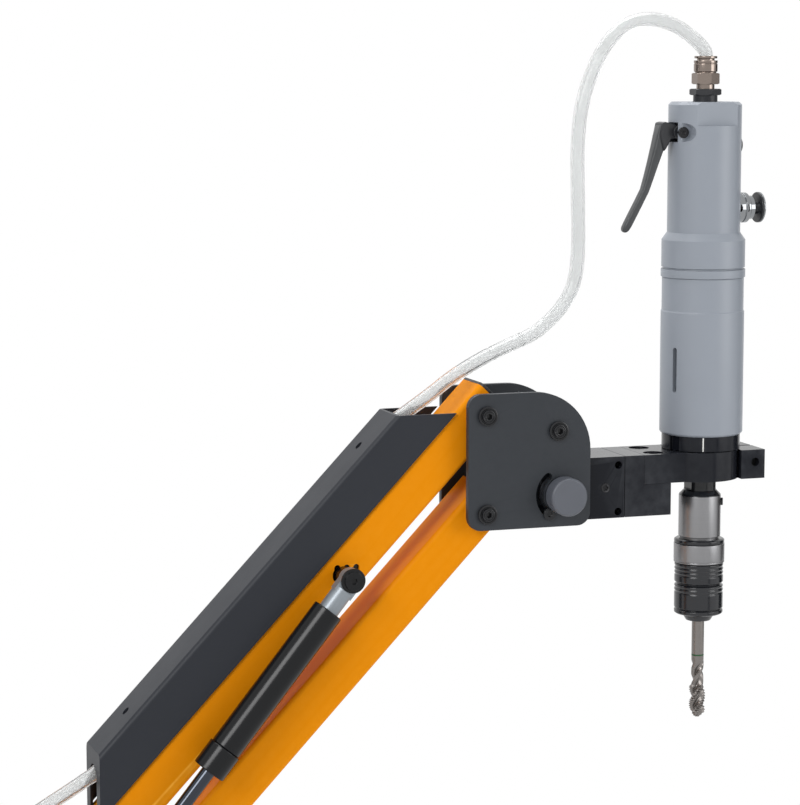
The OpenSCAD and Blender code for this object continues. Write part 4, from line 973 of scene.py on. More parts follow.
@dataclass
class Studio:
    """The floor, the white room, the black cards, the lamps and the camera.

    Places and sizes are in metres, apart from the lens and the sensor.
    """

    camera_at: Point = (-0.05953, -1.80400, 0.90371)
    camera_turn_deg: Point = (82.7, 0.0, -18.65)
    lens: float = 123.03
    sensor: float = 36.0
    sight: float = 30.0
    ambient: float = 0.45
    floor_reach: float = 9.0
    floor_z: float = -0.0005
    floor_color: tuple[float, float, float, float] = (0.86, 0.86, 0.86, 1.0)
    floor_roughness: float = 0.7
    glow_from: float = 0.3
    card_tall: float = 1.6
    cards_face_x: float = 0.7
    cards: tuple[tuple[Point, float], ...] = (
        ((-0.9, 0.9, 0.7), 0.6), ((2.35, 0.35, 0.7), 0.9), ((1.5, -1.45, 0.7), 0.18))
    lamps: tuple[tuple[str, Point, Point, float, float], ...] = (
        ("key", (-1.1, -1.5, 1.9), (0.55, 0.0, 0.65), 1.1, 30.0),
        ("fill", (2.1, -1.4, 1.0), (0.65, 0.0, 0.65), 1.2, 14.0),
        ("top", (0.5, 0.5, 2.3), (0.6, 0.0, 0.6), 1.6, 30.0),
    )

    def build(self) -> None:
        """Sets up everything that isn't part of the machine."""
        scene = bpy.context.scene
        scene.view_settings.view_transform = "Standard"
        self._camera(scene)
        self._world(scene)
        self._floor()
        for place, width in self.cards:
            self._card(Vector(place), width)
        for name, place, target, size, power in self.lamps:
            self._lamp(name, Vector(place), Vector(target), size, power)

    def _camera(self, scene: bpy.types.Scene) -> None:
        """Places the camera where the photograph was taken from."""
        data = bpy.data.cameras.new("camera")
        data.lens = self.lens
        data.sensor_width = self.sensor
        data.clip_end = self.sight
        camera = bpy.data.objects.new("camera", data)
        camera.location = self.camera_at
        camera.rotation_euler = [math.radians(a) for a in self.camera_turn_deg]
        scene.collection.objects.link(camera)
        scene.camera = camera

    def _world(self, scene: bpy.types.Scene) -> None:
        """Fills the room with plain light, and shows it white behind the machine."""
        world = bpy.data.worlds.new("room")
        world.use_nodes = True
        scene.world = world
        nodes = Nodes(world.node_tree)
        level = nodes.math("ADD", nodes.math("MULTIPLY", self._seen(nodes),
                                             1.0 - self.ambient), self.ambient)
        nodes.feed(world.node_tree.nodes["Background"], Color=WHITE, Strength=level)

    @staticmethod
    def _seen(nodes: Nodes) -> bpy.types.NodeSocket:
        """Is 1 for the rays that show the background: camera, glossy and clear ones."""
        path = nodes.add("ShaderNodeLightPath")
        first = nodes.math("MAXIMUM", path.outputs["Is Camera Ray"],
                           path.outputs["Is Transmission Ray"])
        return nodes.math("MAXIMUM", first, path.outputs["Is Glossy Ray"])

    def _floor(self) -> None:
        """Lays a pale floor whose far edge never shows."""
        floor = self._sheet("floor", self.floor_reach, self.floor_reach)
        floor.data.transform(Matrix.Translation((0.0, 0.0, self.floor_z)))
        material, nodes, shader = new_material("pale_floor")
        nodes.feed(shader, Base_Color=self.floor_color, Roughness=self.floor_roughness)
        glow = nodes.add("ShaderNodeEmission", Strength=1.0)
        spread = nodes.add("ShaderNodeVectorMath", operation="LENGTH",
                           Vector=nodes.add("ShaderNodeTexCoord").outputs["Object"])
        away = nodes.clamped(nodes.math("SUBTRACT", spread.outputs["Value"], self.glow_from))
        mix = nodes.add("ShaderNodeMixShader",
                        Fac=nodes.math("MULTIPLY", self._seen(nodes), away))
        nodes.join(shader.outputs[0], mix.inputs[1])
        nodes.join(glow.outputs[0], mix.inputs[2])
        nodes.feed(nodes.tree.nodes["Material Output"], Surface=mix.outputs[0])
        floor.data.materials.append(material)

    @staticmethod
    def _sheet(name: str, half: float, tall: float) -> bpy.types.Object:
        """Makes a level rectangle on the origin, by half its two sizes."""
        mesh = bpy.data.meshes.new(name)
        mesh.from_pydata([(-half, -tall, 0.0), (half, -tall, 0.0), (half, tall, 0.0),
                          (-half, tall, 0.0)], [], [(0, 1, 2, 3)])
        return link(name, mesh)

    def _card(self, place: Vector, width: float) -> None:
        """Stands a black card that shows only in reflections."""
        aim = Vector((self.cards_face_x, 0.0, place.z)) - place
        card = self._sheet("card", width / 2, self.card_tall / 2)
        card.data.transform(Matrix.Translation(place) @ aim.to_track_quat("Z", "Y")
                            .to_matrix().to_4x4())
        black, nodes, shader = new_material("card_black")
        nodes.feed(shader, Base_Color=(0.0, 0.0, 0.0, 1.0), Roughness=1.0,
                   Specular_IOR_Level=0.0)
        card.data.materials.append(black)
        card.visible_camera = card.visible_diffuse = card.visible_shadow = False
        card.visible_transmission = card.visible_volume_scatter = False

    @staticmethod
    def _lamp(name: str, place: Vector, target: Vector, size: float, power: float) -> None:
        """Hangs one soft square lamp, aimed at a point."""
        data = bpy.data.lights.new(name, "AREA")
        data.shape = "SQUARE"
        data.size = size
        data.energy = power
        lamp = bpy.data.objects.new(name, data)
        lamp.location = place
        lamp.rotation_euler = (target - place).to_track_quat("-Z", "Y").to_euler()
        bpy.context.scene.collection.objects.link(lamp)


@dataclass
class AirHose:
    """The clear hose, in four lengths: one rides on the upper arm, and three stay where they lie.
    """

    outer: float = 10.0
    bore: float = 6.5
    inlet: tuple[Point, ...] = (
        (205, 0, 305.9), (205, 0, 296), (204, 0, 282), (197, 0, 262), (182, 0, 249),
        (163, 0, 246), (144, 0, 254), (131, 0, 274), (130, 0, 299), (140, 0, 323),
        (159, 0, 342), (184, 0, 355), (211, 0, 363), (238, 0, 369), (262, 0, 377),
        (284, 0, 387), (300, 0, 396), (314, 0, 404), (324, 0, 410))
    run: tuple[Point, ...] = (
        (324, 0, 410), (329, 0, 413), (343, 5, 424), (358, 11, 438), (375, 11, 455),
        (410, 11, 490), (458, 11, 541), (503, 11, 595), (522, 11, 621), (534, 8, 635),
        (543, 2, 645), (551, 0, 651), (557, 0, 655))
    lift: tuple[Point, ...] = (
        (557, 0, 655), (572, 0, 665), (589, 0, 677), (609, 0, 688), (625, 0, 695),
        (635, 0, 699), (640, 0, 701))
    arch: tuple[Point, ...] = (
        (640, 0, 701), (645, 0, 703), (655, 0, 709), (669, 0, 722), (679, 0, 739), (682.5, 0, 763),
        (682, 0, 799), (681.5, 0, 834), (684, 0, 862), (691, 0, 886), (702, 0, 907),
        (717, 0, 921), (736, 0, 925.6), (755, 0, 921), (769, 0, 912.5), (777.4, 0, 905),
        (779.6, 0, 899), (779.6, 0, 883.9))

    def build(self) -> None:
        sweep = HoseSweep()
        for name, route in (("hose_inlet", self.inlet), ("hose_run", self.run),
                            ("hose_lift", self.lift), ("hose_arch", self.arch)):
            path = smooth_route(route)
            hose = sweep.sweep(f"{name}_clear", path, self.outer, self.bore, HOSE)
            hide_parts(name)
            self._attach(name, hose)

    def _attach(self, name: str, hose: bpy.types.Object) -> None:
        """Lets the run ride on the upper arm, and leaves the other lengths fixed where they lie.
        """
        ends = {
            "hose_inlet": ("shoulder", "upper_arm", (0.150, 0, 0.334), (0.312, 0, 0.403)),
            "hose_lift": ("upper_arm", "head_plates", (0.562, 0, 0.658), (0.636, 0, 0.699)),
            "hose_arch": ("head_plates", "tilt_head", (0.645, 0, 0.704), (0.812, 0, 0.844)),
        }
        if name in ends:
            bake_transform(hose)
        else:
            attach(hose, "upper_arm")
        LOG.info("%s made", name)


@dataclass
class SolidPieces:
    """The machined, cast and folded pieces that keep the solids' shape.

    Each row names a node, its finish and how wide its broken edges are.
    """

    rows: tuple[tuple[str, Finish, float], ...] = (
        ("base_plate", PLATE_BLACK, 0.8), ("column", PLATE_BLACK, 0.8),
        ("column_cap", PLATE_BLACK, 0.6), ("column_screws", BRIGHT_STEEL, 0.4),
        ("swing_link", ORANGE, 1.2), ("swivel_bushes", BRONZE, 0.3),
        ("shoulder_block", PLATE_BLACK, 1.0), ("elbow_cap", PLATE_BLACK, 0.6),
        ("rear_plate_front", PLATE_BLACK, 0.7), ("rear_plate_back", PLATE_BLACK, 0.7),
        ("rear_pins", BRIGHT_STEEL, 0.2), ("inlet_block", MOTOR_GREY, 0.6),
        ("inlet_fitting", NICKEL, 0.4),
        ("upper_arm", ORANGE, 0.6), ("upper_arm_bushes", BRONZE, 0.2),
        ("upper_arm_caps", MOULDED, 0.3), ("hose_cover", CHARCOAL, 0.35),
        ("cover_posts", BRIGHT_STEEL, 0.2), ("spring_stud", SPRING_BLACK, 0.35),
        ("lower_arm", ORANGE, 0.6), ("lower_arm_bushes", BRONZE, 0.2),
        ("lower_arm_caps", MOULDED, 0.3),
        ("gas_cylinder", SPRING_BLACK, 0.9), ("gas_gland", SPRING_BLACK, 0.8),
        ("gas_top_eye", CAST_GREY, 0.9), ("gas_rod", DARK_CHROME, 0.3),
        ("gas_rod_eye", SPRING_BLACK, 0.5),
        ("head_plate_front", PLATE_BLACK, 0.7), ("head_plate_back", PLATE_BLACK, 0.7),
        ("head_pins", BRIGHT_STEEL, 0.3), ("plate_spacer", ANODISED, 0.3),
        ("tilt_knob", KNOB_GREY, 0.5),
        ("hinge_block", ANODISED, 0.6), ("l_block", ANODISED, 0.6),
        ("block_screws", BLACKENED, 0.3), ("tilt_stop_screws", BLACKENED, 0.3),
        ("motor_clamp", ANODISED, 0.4), ("clamp_screws", BLACKENED, 0.4),
        ("nose_collar", ANODISED, 0.4),
        ("motor_joint_ring", MOTOR_GREY, 0.4), ("motor_upper_housing", MOTOR_GREY, 0.6),
        ("side_plug", MOULDED, 0.5), ("lever_pin", BLACKENED, 0.25),
        ("release_ring", NICKEL, 0.3), ("spindle", BLACKENED, 0.3),
        ("tap_holder", SLEEVE_BLACK, 0.4),
    )

    seam: float = 0.45

    def build(self) -> None:
        """Dresses every row, and opens the seam between the head's two blocks."""
        for node, finish, width in self.rows:
            piece = softened(node, finish, width)
            if node == "l_block":
                self._open_seam(piece.data.vertices, width)

    def _open_seam(self, verts: Iterable[bpy.types.MeshVertex], edge: float) -> None:
        """Draws the block's rear face back, so that a fine seam shows."""
        low = min(vert.co.x for vert in verts)
        for vert in verts:
            if vert.co.x < low + 2 * edge * MM:
                vert.co.x += self.seam * MM


@dataclass
class SeatScrews:
    """The flanged screws of the shoulder and of the head, and the inlet's cap screws."""

    screw: PlateScrew = field(default_factory=PlateScrew)
    cap_d: float = 10.0
    cap_h: float = 6.0
    cap_edge: float = 0.7
    cap_socket_r: float = 2.3

    def build(self) -> None:
        """Sets the screws on both pairs of plates and on the inlet block."""
        proto = self.screw.model()
        tree = ScrewField()
        head = tree.set("head_plate_screws_set", proto, self._head_seats(), BLACKENED)
        placed(head, "head_plates", "head_plate_screws")
        rear = tree.set("shoulder_screws_set", proto, self._rear_seats(), BLACKENED)
        placed(rear, "shoulder", "shoulder_screws")
        bpy.data.objects.remove(proto)
        for up in LAYOUT.inlet_screw_z:
            place = Vector((LAYOUT.inlet_x, -LAYOUT.inlet_screw_y, up))
            placed(self._cap_screw(place), "shoulder")

    @staticmethod
    def _head_seats() -> list[tuple[Vector, Point]]:
        """The seats on the head's two plates."""
        spots = [(0.0, 0.0), (0.0, -LAYOUT.pivot_gap), (LAYOUT.spacer_x, LAYOUT.spacer_z)]
        return [(LAYOUT.head + Vector((x, side * LAYOUT.plate_out, z)), (0.0, side, 0.0))
                for side in (-1.0, 1.0) for x, z in spots]

    @staticmethod
    def _rear_seats() -> list[tuple[Vector, Point]]:
        """The seats on the shoulder's two plates."""
        rear = LAYOUT.rear
        spots = [(rear.x, rear.z), (rear.x, rear.z - LAYOUT.pivot_gap)]
        spots += [(LAYOUT.link_len + x * LAYOUT.screw_step / 2, z)
                  for x in (-1.0, 1.0)
                  for z in (LAYOUT.screw_low_z, LAYOUT.screw_low_z + LAYOUT.screw_step)]
        return [(Vector((x, side * LAYOUT.plate_out, z)), (0.0, side, 0.0))
                for side in (-1.0, 1.0) for x, z in spots]

    def _cap_screw(self, place: Vector) -> bpy.types.Object:
        """Turns one cap screw that faces backward from the inlet block."""
        r, h, socket_r = self.cap_d / 2, self.cap_h, self.cap_socket_r
        outline = rounded([(0.0, 0.0), (r, 0.0), (r, h), (socket_r, h), (socket_r, h / 2),
                           (0.0, h / 2)], self.cap_edge)
        return turned("inlet_screw", outline, place, BLACKENED, Vector((-1, 0, 0)),
                      steps=48)


@dataclass
class AirFitting:
    """The black bushing on the motor's top, and the push-in fitting that stands in it."""

    bushing_d: float = 17.4
    bushing_h: float = 4.7
    bushing_flats: float = 19.8
    bushing_hex_h: float = 4.5
    neck_d: float = 13.0
    neck_h: float = 3.2
    flats: float = 17.3
    hex_h: float = 8.0
    body_d: float = 17.1
    body_h: float = 8.9
    bore_d: float = 13.1
    chamfer: float = 0.6
    past_point: float = 0.1
    body_foot: Outline = ((-0.9, 0.0), (-0.9, 0.7), (0.0, 1.1))
    body_rim: Outline = ((0.0, -2.6), (-0.35, -2.4), (-0.35, -1.9), (0.0, -1.7), (0.0, 0.0))

    def build(self) -> None:
        """Turns both pieces."""
        foot = LAYOUT.tool + Vector((0.0, 0.0, LAYOUT.motor_top))
        placed(self._bushing(foot), "tilt_head", "air_fitting")
        rise = Vector((0.0, 0.0, self.bushing_h + self.bushing_hex_h))
        placed(self._fitting(foot + rise), "tilt_head")

    def _bushing(self, place: Vector) -> bpy.types.Object:
        """Turns the bushing: a plain foot and a chamfered hexagon."""
        foot, top = self.bushing_h, self.bushing_h + self.bushing_hex_h
        outline = [(0.0, 0.0), *rounded([(self.bushing_d / 2, 0.0), (self.bushing_d / 2, foot),
                                         *self._nut(self.bushing_flats, foot, top),
                                         (self.neck_d / 2, top)], radius=0.2), (0.0, top)]
        return turned("bushing", outline, place, MOULDED, steps=FINE_STEPS,
                      rule=hexagonal(self.bushing_flats, foot, top))

    def _fitting(self, place: Vector) -> bpy.types.Object:
        """Turns the fitting: a neck, a hexagon and a body with its mouth."""
        low, high = self.neck_h, self.neck_h + self.hex_h
        r, top, floor = self.body_d / 2, high + self.body_h, low + self.chamfer
        outline = rounded([(self.neck_d / 2, 0.0), (self.neck_d / 2, low),
                           *self._nut(self.flats, low, high),
                           *stepped(r, high, self.body_foot), *stepped(r, top, self.body_rim),
                           (self.bore_d / 2, top), (self.bore_d / 2, floor)],
                          radius=0.25)
        return turned("push_in_fitting", [(0.0, 0.0), *outline, (0.0, floor)], place, NICKEL,
                      steps=FINE_STEPS, rule=hexagonal(self.flats, low, high))

    def _nut(self, flats: float, low: float, high: float) -> Outline:
        """Gives the outline of a hexagon with chamfered corners, between two heights."""
        point, cut = flats / math.sqrt(3.0) + self.past_point, self.chamfer
        return [(point - 2 * cut, low), (point, low + cut), (point, high - cut),
                (point - 2 * cut, high)]


@dataclass
class LowerHousing:
    """The motor's lower housing, with its waist, its nose and the vent slot."""

    radius: float = 30.0
    nose_r: float = 22.0
    bore_r: float = 6.05
    clamp_t: float = 21.0
    low: float = 11.1
    top: float = 124.6
    waist_h: float = 24.0
    waist_in: float = 0.6
    edge: float = 1.5
    vent_z: float = 42.5
    vent_h: float = 32.5
    vent_w: float = 3.6
    vent_deep: float = 8.0
    vent_past: float = 3.0
    vent_turn_deg: float = 64.7
    vent_steps: int = 8
    rim: Outline = ((0.0, -0.6), (-0.5, 0.0))
    bore_end: float = -1.0

    def build(self) -> None:
        """Turns the housing and cuts its vent."""
        r, waist = self.radius, self.top - self.waist_h
        outline = rounded([(self.bore_r, self.bore_end), (self.bore_r, -self.clamp_t),
                           (self.nose_r, -self.clamp_t), (self.nose_r, self.low),
                           (r - self.edge, self.low), (r, self.low + self.edge),
                           (r, waist - self.waist_in), (r - self.waist_in, waist),
                           *stepped(r - self.waist_in, self.top, self.rim)],
                          radius=0.4)
        body = turned("motor_lower_housing_dressed",
                      [(0.0, self.bore_end), *outline, (0.0, self.top)], LAYOUT.tool,
                      MOTOR_GREY, steps=128)
        cutter = self._vent()
        cut = body.modifiers.new("vent", "BOOLEAN")
        cut.operation, cut.solver, cut.object = "DIFFERENCE", "EXACT", cutter
        body = applied(body)
        bpy.data.objects.remove(cutter)
        placed(body, "tilt_head", "motor_lower_housing")

    def _vent(self) -> bpy.types.Object:
        """Makes the slot's body: a flat bar with round ends."""
        half = self.vent_w / 2
        out, side = heading(FRONT_DEG - self.vent_turn_deg)
        rim = []
        for end in (0, 1):
            middle = self.vent_z + (self.vent_h - half if end else half)
            turns = [math.pi * (end + k / self.vent_steps) + math.pi
                     for k in range(self.vent_steps + 1)]
            rim += [(half * math.cos(a), middle + half * math.sin(a)) for a in turns]
        loops = [[LAYOUT.tool + out * reach + side * x + Vector((0, 0, z)) for x, z in rim]
                 for reach in (self.radius - self.vent_deep, self.radius + self.vent_past)]
        return lofted("vent", loops, MOTOR_GREY)


@dataclass
class IndexLine:
    """The painted index line in the groove of the nose collar."""

    reach: float = 28.0
    turn_deg: float = 21.0
    width: float = 0.9
    thick: float = 0.5
    low: float = 0.8
    high: float = 10.6

    def build(self) -> None:
        """Lays the line of paint."""
        out, side = heading(FRONT_DEG - self.turn_deg)
        side = side * (self.width / 2)
        bm = bmesh.new()
        bmesh.ops.create_cube(bm, size=1.0)
        middle = LAYOUT.tool + out * self.reach
        for vert in bm.verts:
            x, y, z = vert.co
            up = self.low if z < 0 else self.high
            vert.co = (middle + out * (x * self.thick) + side * (2 * y) + Vector((0, 0, up))) * MM
        line = made("index_line", bm, WHITE_INK)
        shaded(line.data)
        placed(line, "tilt_head")


@dataclass
class ReverseButton:
    """The chromed neck on the grip's side, and the button that slides in it."""

    up: float = 173.5
    start: float = 20.0
    neck_r: float = 10.9
    neck_len: float = 17.0
    mouth_r: float = 8.6
    stem_r: float = 5.0
    travel: float = 4.3
    disc_r: float = 11.0
    disc_t: float = 3.0
    mouth_len: float = 3.2
    stem_gap: float = 0.25
    stem_past: float = 0.5
    neck_groove: Outline = ((0.0, -8.6), (-0.5, -8.3), (-0.5, -7.9), (0.0, -7.6), (0.0, -4.4))
    disc_foot: Outline = ((-0.5, 0.0), (0.0, 0.5))
    disc_step: Outline = ((0.0, 0.0), (-2.2, 0.0))
    disc_dish: tuple[float, float] = (2.6, 0.6)
    rim_w: float = 1.9
    rim_face: Outline = ((0.0, -0.3), (-0.4, 0.0), (-1.6, 0.0), (-1.9, -0.3))
    level_shares: tuple[float, float, float] = (0.5, 0.55, 0.56)

    def build(self) -> None:
        """Turns the neck, the stem, the black disc and its bright rim."""
        place = LAYOUT.tool + Vector((self.start, 0.0, self.up))
        ahead = Vector((1, 0, 0))
        n, r = self.neck_len, self.neck_r
        bore = self.stem_r + self.stem_gap
        neck = rounded([(bore, 0.0), (r, 0.0), *stepped(r, n, self.neck_groove),
                        (self.mouth_r, n - self.mouth_len), (self.mouth_r, n), (bore, n)],
                       radius=0.35)
        placed(turned("neck", [*neck, (bore, 0.0)], place, CHROME, ahead), "tilt_head",
               "button_neck")
        disc_at = n + self.travel
        stem = [(0.0, 0.0), (self.stem_r, 0.0), (self.stem_r, disc_at + self.stem_past),
                (0.0, disc_at + self.stem_past)]
        placed(turned("stem", stem, place, CHROME, ahead, steps=48), "reverse_button",
               "reverse_button")
        d, face = self.disc_r, disc_at + self.disc_t
        inner, middle, outer = (disc_at + self.disc_t * share for share in self.level_shares)
        in_by, down_by = self.disc_dish
        disc = rounded([(0.0, disc_at), *stepped(d, disc_at, self.disc_foot),
                        *stepped(d, middle, self.disc_step), (d - in_by, face - down_by),
                        (0.0, face - down_by)], radius=0.3)
        placed(turned("disc", disc, place, MOULDED, ahead), "reverse_button")
        rim = rounded([(d - self.rim_w, inner), (d, outer), *stepped(d, face, self.rim_face),
                       (d - self.rim_w, inner)], radius=0.2)
        placed(turned("rim", rim, place, CHROME, ahead), "reverse_button")


@dataclass
class ThrottleLever:
    """The lever on the grip's back: a hub, an angular head and a slim curved arm.

    The head's corners and the arm's stations are shares of the reach, from the pin. A
    station is where the arm's middle is along X and Z, how thick the arm is there and how
    wide it is along Y.
    """

    pin_x: float = -22.6
    pin_z: float = 228.2
    reach: float = 71.0
    hub_r: float = 5.0
    hub_w: float = 15.6
    bore_r: float = 2.35
    head_w: float = 13.0
    head_edge: float = 0.9
    head_shares: Outline = (
        (0.02, -0.062), (-0.085, -0.066), (-0.14, -0.16), (-0.165, -0.19), (-0.215, -0.02),
        (-0.19, 0.095), (-0.15, 0.105), (0.0, 0.066))
    arm_shares: tuple[tuple[float, float, float, float], ...] = (
        (-0.158, 0.075, 0.060, 0.150), (-0.163, 0.05, 0.086, 0.156),
        (-0.181, -0.04, 0.100, 0.154), (-0.205, -0.159, 0.108, 0.146),
        (-0.2485, -0.30, 0.092, 0.132), (-0.295, -0.45, 0.078, 0.122),
        (-0.338, -0.58, 0.069, 0.114), (-0.4013, -0.70, 0.070, 0.110),
        (-0.4664, -0.82, 0.072, 0.106), (-0.5207, -0.92, 0.073, 0.102),
        (-0.546, -0.965, 0.066, 0.092), (-0.556, -0.985, 0.048, 0.070),
        (-0.560, -0.995, 0.022, 0.036))
    around: int = 32
    squareness: float = 5.5

    @property
    def pin(self) -> Vector:
        """The pin's place, in millimetres."""
        return LAYOUT.tool + Vector((self.pin_x, 0.0, self.pin_z))

    def build(self) -> None:
        """Models the head, the hub and the arm as pieces of one moulding."""
        placed(self._head(), "throttle_lever", "throttle_lever")
        placed(self._arm(), "throttle_lever")
        hub = rounded([(self.bore_r, 0.0), (self.hub_r, 0.0), (self.hub_r, self.hub_w),
                       (self.bore_r, self.hub_w)], radius=0.5)
        place = self.pin - Vector((0.0, self.hub_w / 2, 0.0))
        placed(turned("hub", [*hub, (self.bore_r, 0.0)], place, MOULDED, Vector((0, 1, 0)),
                      steps=64), "throttle_lever")

    def _head(self) -> bpy.types.Object:
        """Cuts the angular head from a slab and breaks its edges."""
        rings = [[self.pin + Vector((x * self.reach, side * self.head_w / 2, z * self.reach))
                  for x, z in self.head_shares] for side in (-1.0, 1.0)]
        return edged(lofted("lever_head", rings, MOULDED), self.head_edge,
                     segments=3)

    def _arm(self) -> bpy.types.Object:
        """Lofts the arm through its stations."""
        rings = []
        path = [Vector((x, 0.0, z)) * self.reach for x, z, _, _ in self.arm_shares]
        for i, (_, _, thick, wide) in enumerate(self.arm_shares):
            ahead = (path[min(i + 1, len(path) - 1)] - path[max(i - 1, 0)]).normalized()
            flat = Vector((-ahead.z, 0.0, ahead.x))
            ring = []
            for k in range(self.around):
                a = 2 * math.pi * k / self.around
                u, v = math.cos(a), math.sin(a)
                grow = (abs(u) ** self.squareness + abs(v) ** self.squareness) ** (
                    -1.0 / self.squareness)
                ring.append(self.pin + path[i] + flat * (u * grow * thick * self.reach / 2)
                            + Vector((0, v * grow * wide * self.reach / 2, 0)))
            rings.append(ring)
        return lofted("lever_arm", rings, LEVER_GREY, SOFT_DEG)


@dataclass
class Chuck:
    """The chuck's steel body, its black rings, its size collar and its sleeve.

    The grooves of the sleeve are shares of its length from the top, with their widths
    and depths in millimetres.
    """

    top: float = -30.7
    body_from: float = -34.4
    body_to: float = -64.7
    collar_from: float = -66.2
    collar_to: float = -83.9
    core_to: float = -120.9
    bore_to: float = -94.9
    sleeve_to: float = -121.9
    neck_r: float = 12.0
    body_r: float = 15.25
    gap_r: float = 14.0
    collar_r: float = 18.45
    core_r: float = 13.0
    bore_r: float = 9.55
    sleeve_r: float = 17.75
    band: float = 3.4
    cone_edge: float = 0.5
    slack: float = 0.05
    ring_inset: float = 0.5
    screw_r: float = 2.75
    screw_down: float = 5.0
    screw_out: float = 1.5
    screw_turn_deg: float = -24.8
    screw_sunk: float = 2.0
    screw_socket_r: float = 1.3
    screw_socket_deep: float = 1.2
    sleeve_gap: float = 0.3
    sleeve_round: tuple[float, float] = (0.7, 1.3)
    sleeve_steps: int = 150
    body_rim: Outline = ((-0.4, 0.3), (0.0, -0.1))
    body_foot: Outline = ((0.0, 0.4), (-0.3, 0.0))
    collar_rim: Outline = ((-0.5, 0.0), (0.0, -0.4))
    collar_line: Outline = ((0.0, 1.9), (-0.3, 1.7), (-0.3, 1.2), (0.0, 1.0), (0.0, 0.3),
                            (-0.6, 0.0))
    ring_rim: Outline = ((-1.6, 0.0), (-0.2, -0.9))
    ring_foot: Outline = ((-0.2, 0.4), (-0.8, 0.1))
    grooves: tuple[tuple[float, float, float], ...] = (
        (0.075, 1.5, 0.55), (0.15, 1.5, 0.55), (0.225, 1.5, 0.55), (0.405, 1.9, 1.7),
        (0.485, 1.5, 0.5), (0.565, 1.5, 0.5), (0.90, 1.3, 1.0))

    def build(self) -> None:
        """Turns every piece of the chuck."""
        placed(self._body(), "spindle", "chuck_body")
        placed(self._cone(), "spindle")
        placed(self._collar_band(), "spindle")
        placed(self._set_screw(), "spindle")
        placed(self._sleeve(), "chuck_sleeve", "chuck_sleeve")

    def _body(self) -> bpy.types.Object:
        """Turns the steel body, from its top down to the core's end and up the bore."""
        b, c, split = self.body_r, self.collar_r, self.collar_from - self.band
        outline = rounded([*stepped(b, self.body_from, self.body_rim),
                           *stepped(b, self.body_to, self.body_foot),
                           (self.gap_r, self.body_to), (self.gap_r, split),
                           *stepped(c, split, self.collar_rim),
                           *stepped(c, self.collar_to, self.collar_line),
                           (self.core_r, self.collar_to), (self.core_r, self.core_to),
                           (self.bore_r, self.core_to), (self.bore_r, self.bore_to)],
                          radius=0.25)
        return turned("chuck_steel", [(0.0, outline[0][1]), *outline, (0.0, self.bore_to)],
                      LAYOUT.tool, TURNED_STEEL, steps=FINE_STEPS)

    def _cone(self) -> bpy.types.Object:
        """Turns the black cone on the chuck's top."""
        edge = self.cone_edge
        rim = stepped(self.body_r, self.body_from,
                      ((-self.slack, edge), (-self.slack, -edge)))
        outline = rounded([(0.0, self.top), (self.neck_r, self.top), *rim,
                           (0.0, self.body_from - edge)], edge)
        return turned("chuck_cone", outline, LAYOUT.tool, SLEEVE_BLACK, steps=FINE_STEPS)

    def _collar_band(self) -> bpy.types.Object:
        """Turns the black ring on top of the size collar."""
        c, start, end = self.collar_r, self.collar_from, self.collar_from - self.band
        inner = self.gap_r - self.ring_inset
        outline = rounded([(inner, start), *stepped(c, start, self.ring_rim),
                           *stepped(c, end, self.ring_foot),
                           (inner, end + self.ring_foot[-1][1]), (inner, start)],
                          radius=0.3)
        return turned("collar_ring", outline, LAYOUT.tool, SLEEVE_BLACK, steps=FINE_STEPS)

    def _set_screw(self) -> bpy.types.Object:
        """Turns the set screw, which stands out of the body."""
        out, _ = heading(self.screw_turn_deg)
        place = LAYOUT.tool + out * (self.body_r - self.screw_sunk) + Vector(
            (0, 0, self.body_from - self.screw_down))
        top, socket_r = self.screw_sunk + self.screw_out, self.screw_socket_r
        floor = top - self.screw_socket_deep
        outline = rounded([(0.0, 0.0), (self.screw_r, 0.0), (self.screw_r, top),
                           (socket_r, top), (socket_r, floor), (0.0, floor)], radius=0.3)
        return turned("set_screw", outline, place, BLACKENED, out, steps=36)

    def _sleeve(self) -> bpy.types.Object:
        """Turns the sleeve, with round lands between its grooves."""
        length = self.collar_to - self.sleeve_to
        bore = self.core_r + self.slack
        high = self.collar_to - self.sleeve_gap
        outline = [(bore, high)]
        for k in range(self.sleeve_steps + 1):
            share = k / self.sleeve_steps
            radius = self.sleeve_r - sum(
                self._dip((share - at) * length, width, depth)
                for at, width, depth in self.grooves)
            for size, off in zip(self.sleeve_round, (share, 1.0 - share)):
                radius -= size * max(0.0, 1.0 - off * length / size) ** 2
            outline.append((radius, high - share * (length - self.sleeve_gap)))
        outline += [(bore, self.sleeve_to), (bore, high)]
        return turned("sleeve", outline, LAYOUT.tool, SLEEVE_BLACK, steps=FINE_STEPS)

    @staticmethod
    def _dip(off: float, width: float, depth: float) -> float:
        """The depth of a round-shouldered groove at a distance from its middle."""
        if abs(off) >= width:
            return 0.0
        return depth * (0.5 + 0.5 * math.cos(math.pi * off / width)) ** GROOVE_POWER


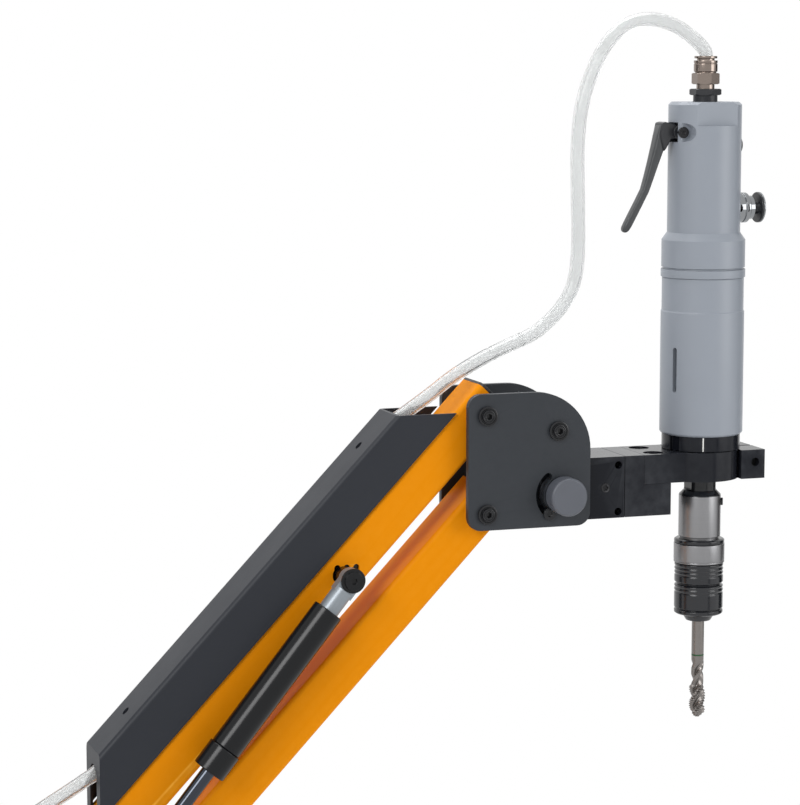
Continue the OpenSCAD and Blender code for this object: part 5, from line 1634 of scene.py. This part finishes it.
@dataclass
class Tap:
    """The spiral-flute tap: a shank, three flutes, and thread teeth on the lands.

    Each pair in shares gives a place round a land and its flute, as a share of half their
    angle, and how much of the outer radius is kept there.
    """

    size: float = 12.0
    pitch: float = 1.75
    depth: float = 1.0
    shank_d: float = 9.0
    start: float = -127.1
    inside: float = 20.0
    length: float = 72.6
    thread_len: float = 22.5
    flute_len: float = 20.0
    tip_len: float = 4.0
    flutes: int = 3
    flute_turn_deg: float = 118.0
    step: float = 0.22
    ring_up: float = 4.0
    ring_shape: Outline = ((-0.1, -0.6), (0.03, -0.55), (0.03, 0.55), (-0.1, 0.6),
                           (-0.1, -0.6))
    ease_len: float = 1.5
    runout_len: float = 7.0
    fade_len: float = 0.8
    crest: float = 0.12
    flank: float = 0.76
    land_from: float = 0.84
    land_ease: float = 0.1
    shares: Outline = (
        (-0.24, 1.0), (-0.12, 1.0), (0.0, 1.0), (0.12, 1.0), (0.24, 1.0), (0.32, 0.95),
        (0.45, 0.86), (0.6, 0.77), (0.75, 0.67), (0.88, 0.53), (1.0, 0.44), (1.12, 0.44),
        (1.25, 0.50), (1.4, 0.60), (1.55, 0.76), (1.68, 0.90))

    def build(self) -> None:
        """Models the tap and its green ring."""
        placed(self._body(), "spindle", "tap")
        ring = stepped(self.shank_d / 2, self._neck_end + self.ring_up, self.ring_shape)
        placed(turned("green_band", ring, LAYOUT.tool, GREEN_INK, steps=64), "spindle")

    @property
    def _low(self) -> float:
        """The level of the tap's tip, from the clamp's top."""
        return self.start - self.length

    @property
    def _neck_end(self) -> float:
        """The level where the flutes run out into the shank."""
        return self._low + self.thread_len + self.flute_len

    def _envelope(self, up: float) -> float:
        """The tap's outer radius at a height above its tip."""
        if up < self.tip_len:
            return self.size / 6 + (self.size / 3) * up / self.tip_len
        if up < self.thread_len:
            return self.size / 2
        ease = ramp(up, self.thread_len, self.ease_len)
        return self.size / 2 - (self.size / 2 - self.shank_d / 2) * ease

    def _ring(self, up: float) -> list[Vector]:
        """Makes one ring of the tap at a height above its tip."""
        reach = self._neck_end - self._low
        turn = math.radians(-self.flute_turn_deg * max(reach - up, 0.0) / self.size)
        runout = ramp(reach - up, 0.0, self.runout_len)
        outer = self._envelope(up)
        threaded = ramp(self.thread_len + self.fade_len / 2 - up, 0.0, self.fade_len)
        ring = []
        for i in range(self.flutes):
            for share, keep in self.shares:
                a = turn + (2 * i + share) * math.pi / self.flutes
                tooth = abs(((up / self.pitch - a / (2 * math.pi)) % 1.0) * 2.0 - 1.0)
                tooth = ramp(tooth, self.crest, self.flank)
                land = ramp(keep, self.land_from, self.land_ease)
                radius = outer - self.depth * (1.0 - tooth) * threaded * land
                radius *= 1.0 - (1.0 - keep) * runout
                ring.append(LAYOUT.tool + Vector(
                    (radius * math.cos(a), radius * math.sin(a), self._low + up)))
        return ring

    def _body(self) -> bpy.types.Object:
        """Stacks the rings from the tip to the shank's end."""
        reach = self._neck_end - self._low
        count = round(reach / self.step)
        levels = [reach * k / count for k in range(count + 1)]
        levels.append(self.length + self.inside)
        tip = LAYOUT.tool + Vector((0, 0, self._low))
        return lofted("tap_dressed", [[tip], *map(self._ring, levels)], TAP_STEEL,
                      TAP_SHARP_DEG)


def main() -> None:
    """Builds the studio and the machine, piece by piece."""
    logging.basicConfig(level=logging.INFO, format="%(name)s: %(message)s")
    for part in (Studio(), AirHose(), SolidPieces(), SeatScrews(), LowerHousing(),
                 IndexLine(), AirFitting(), ReverseButton(), ThrottleLever(), Chuck(),
                 Tap()):
        part.build()
        LOG.info("%s built", type(part).__name__)


if __name__ == "__main__":
    main()
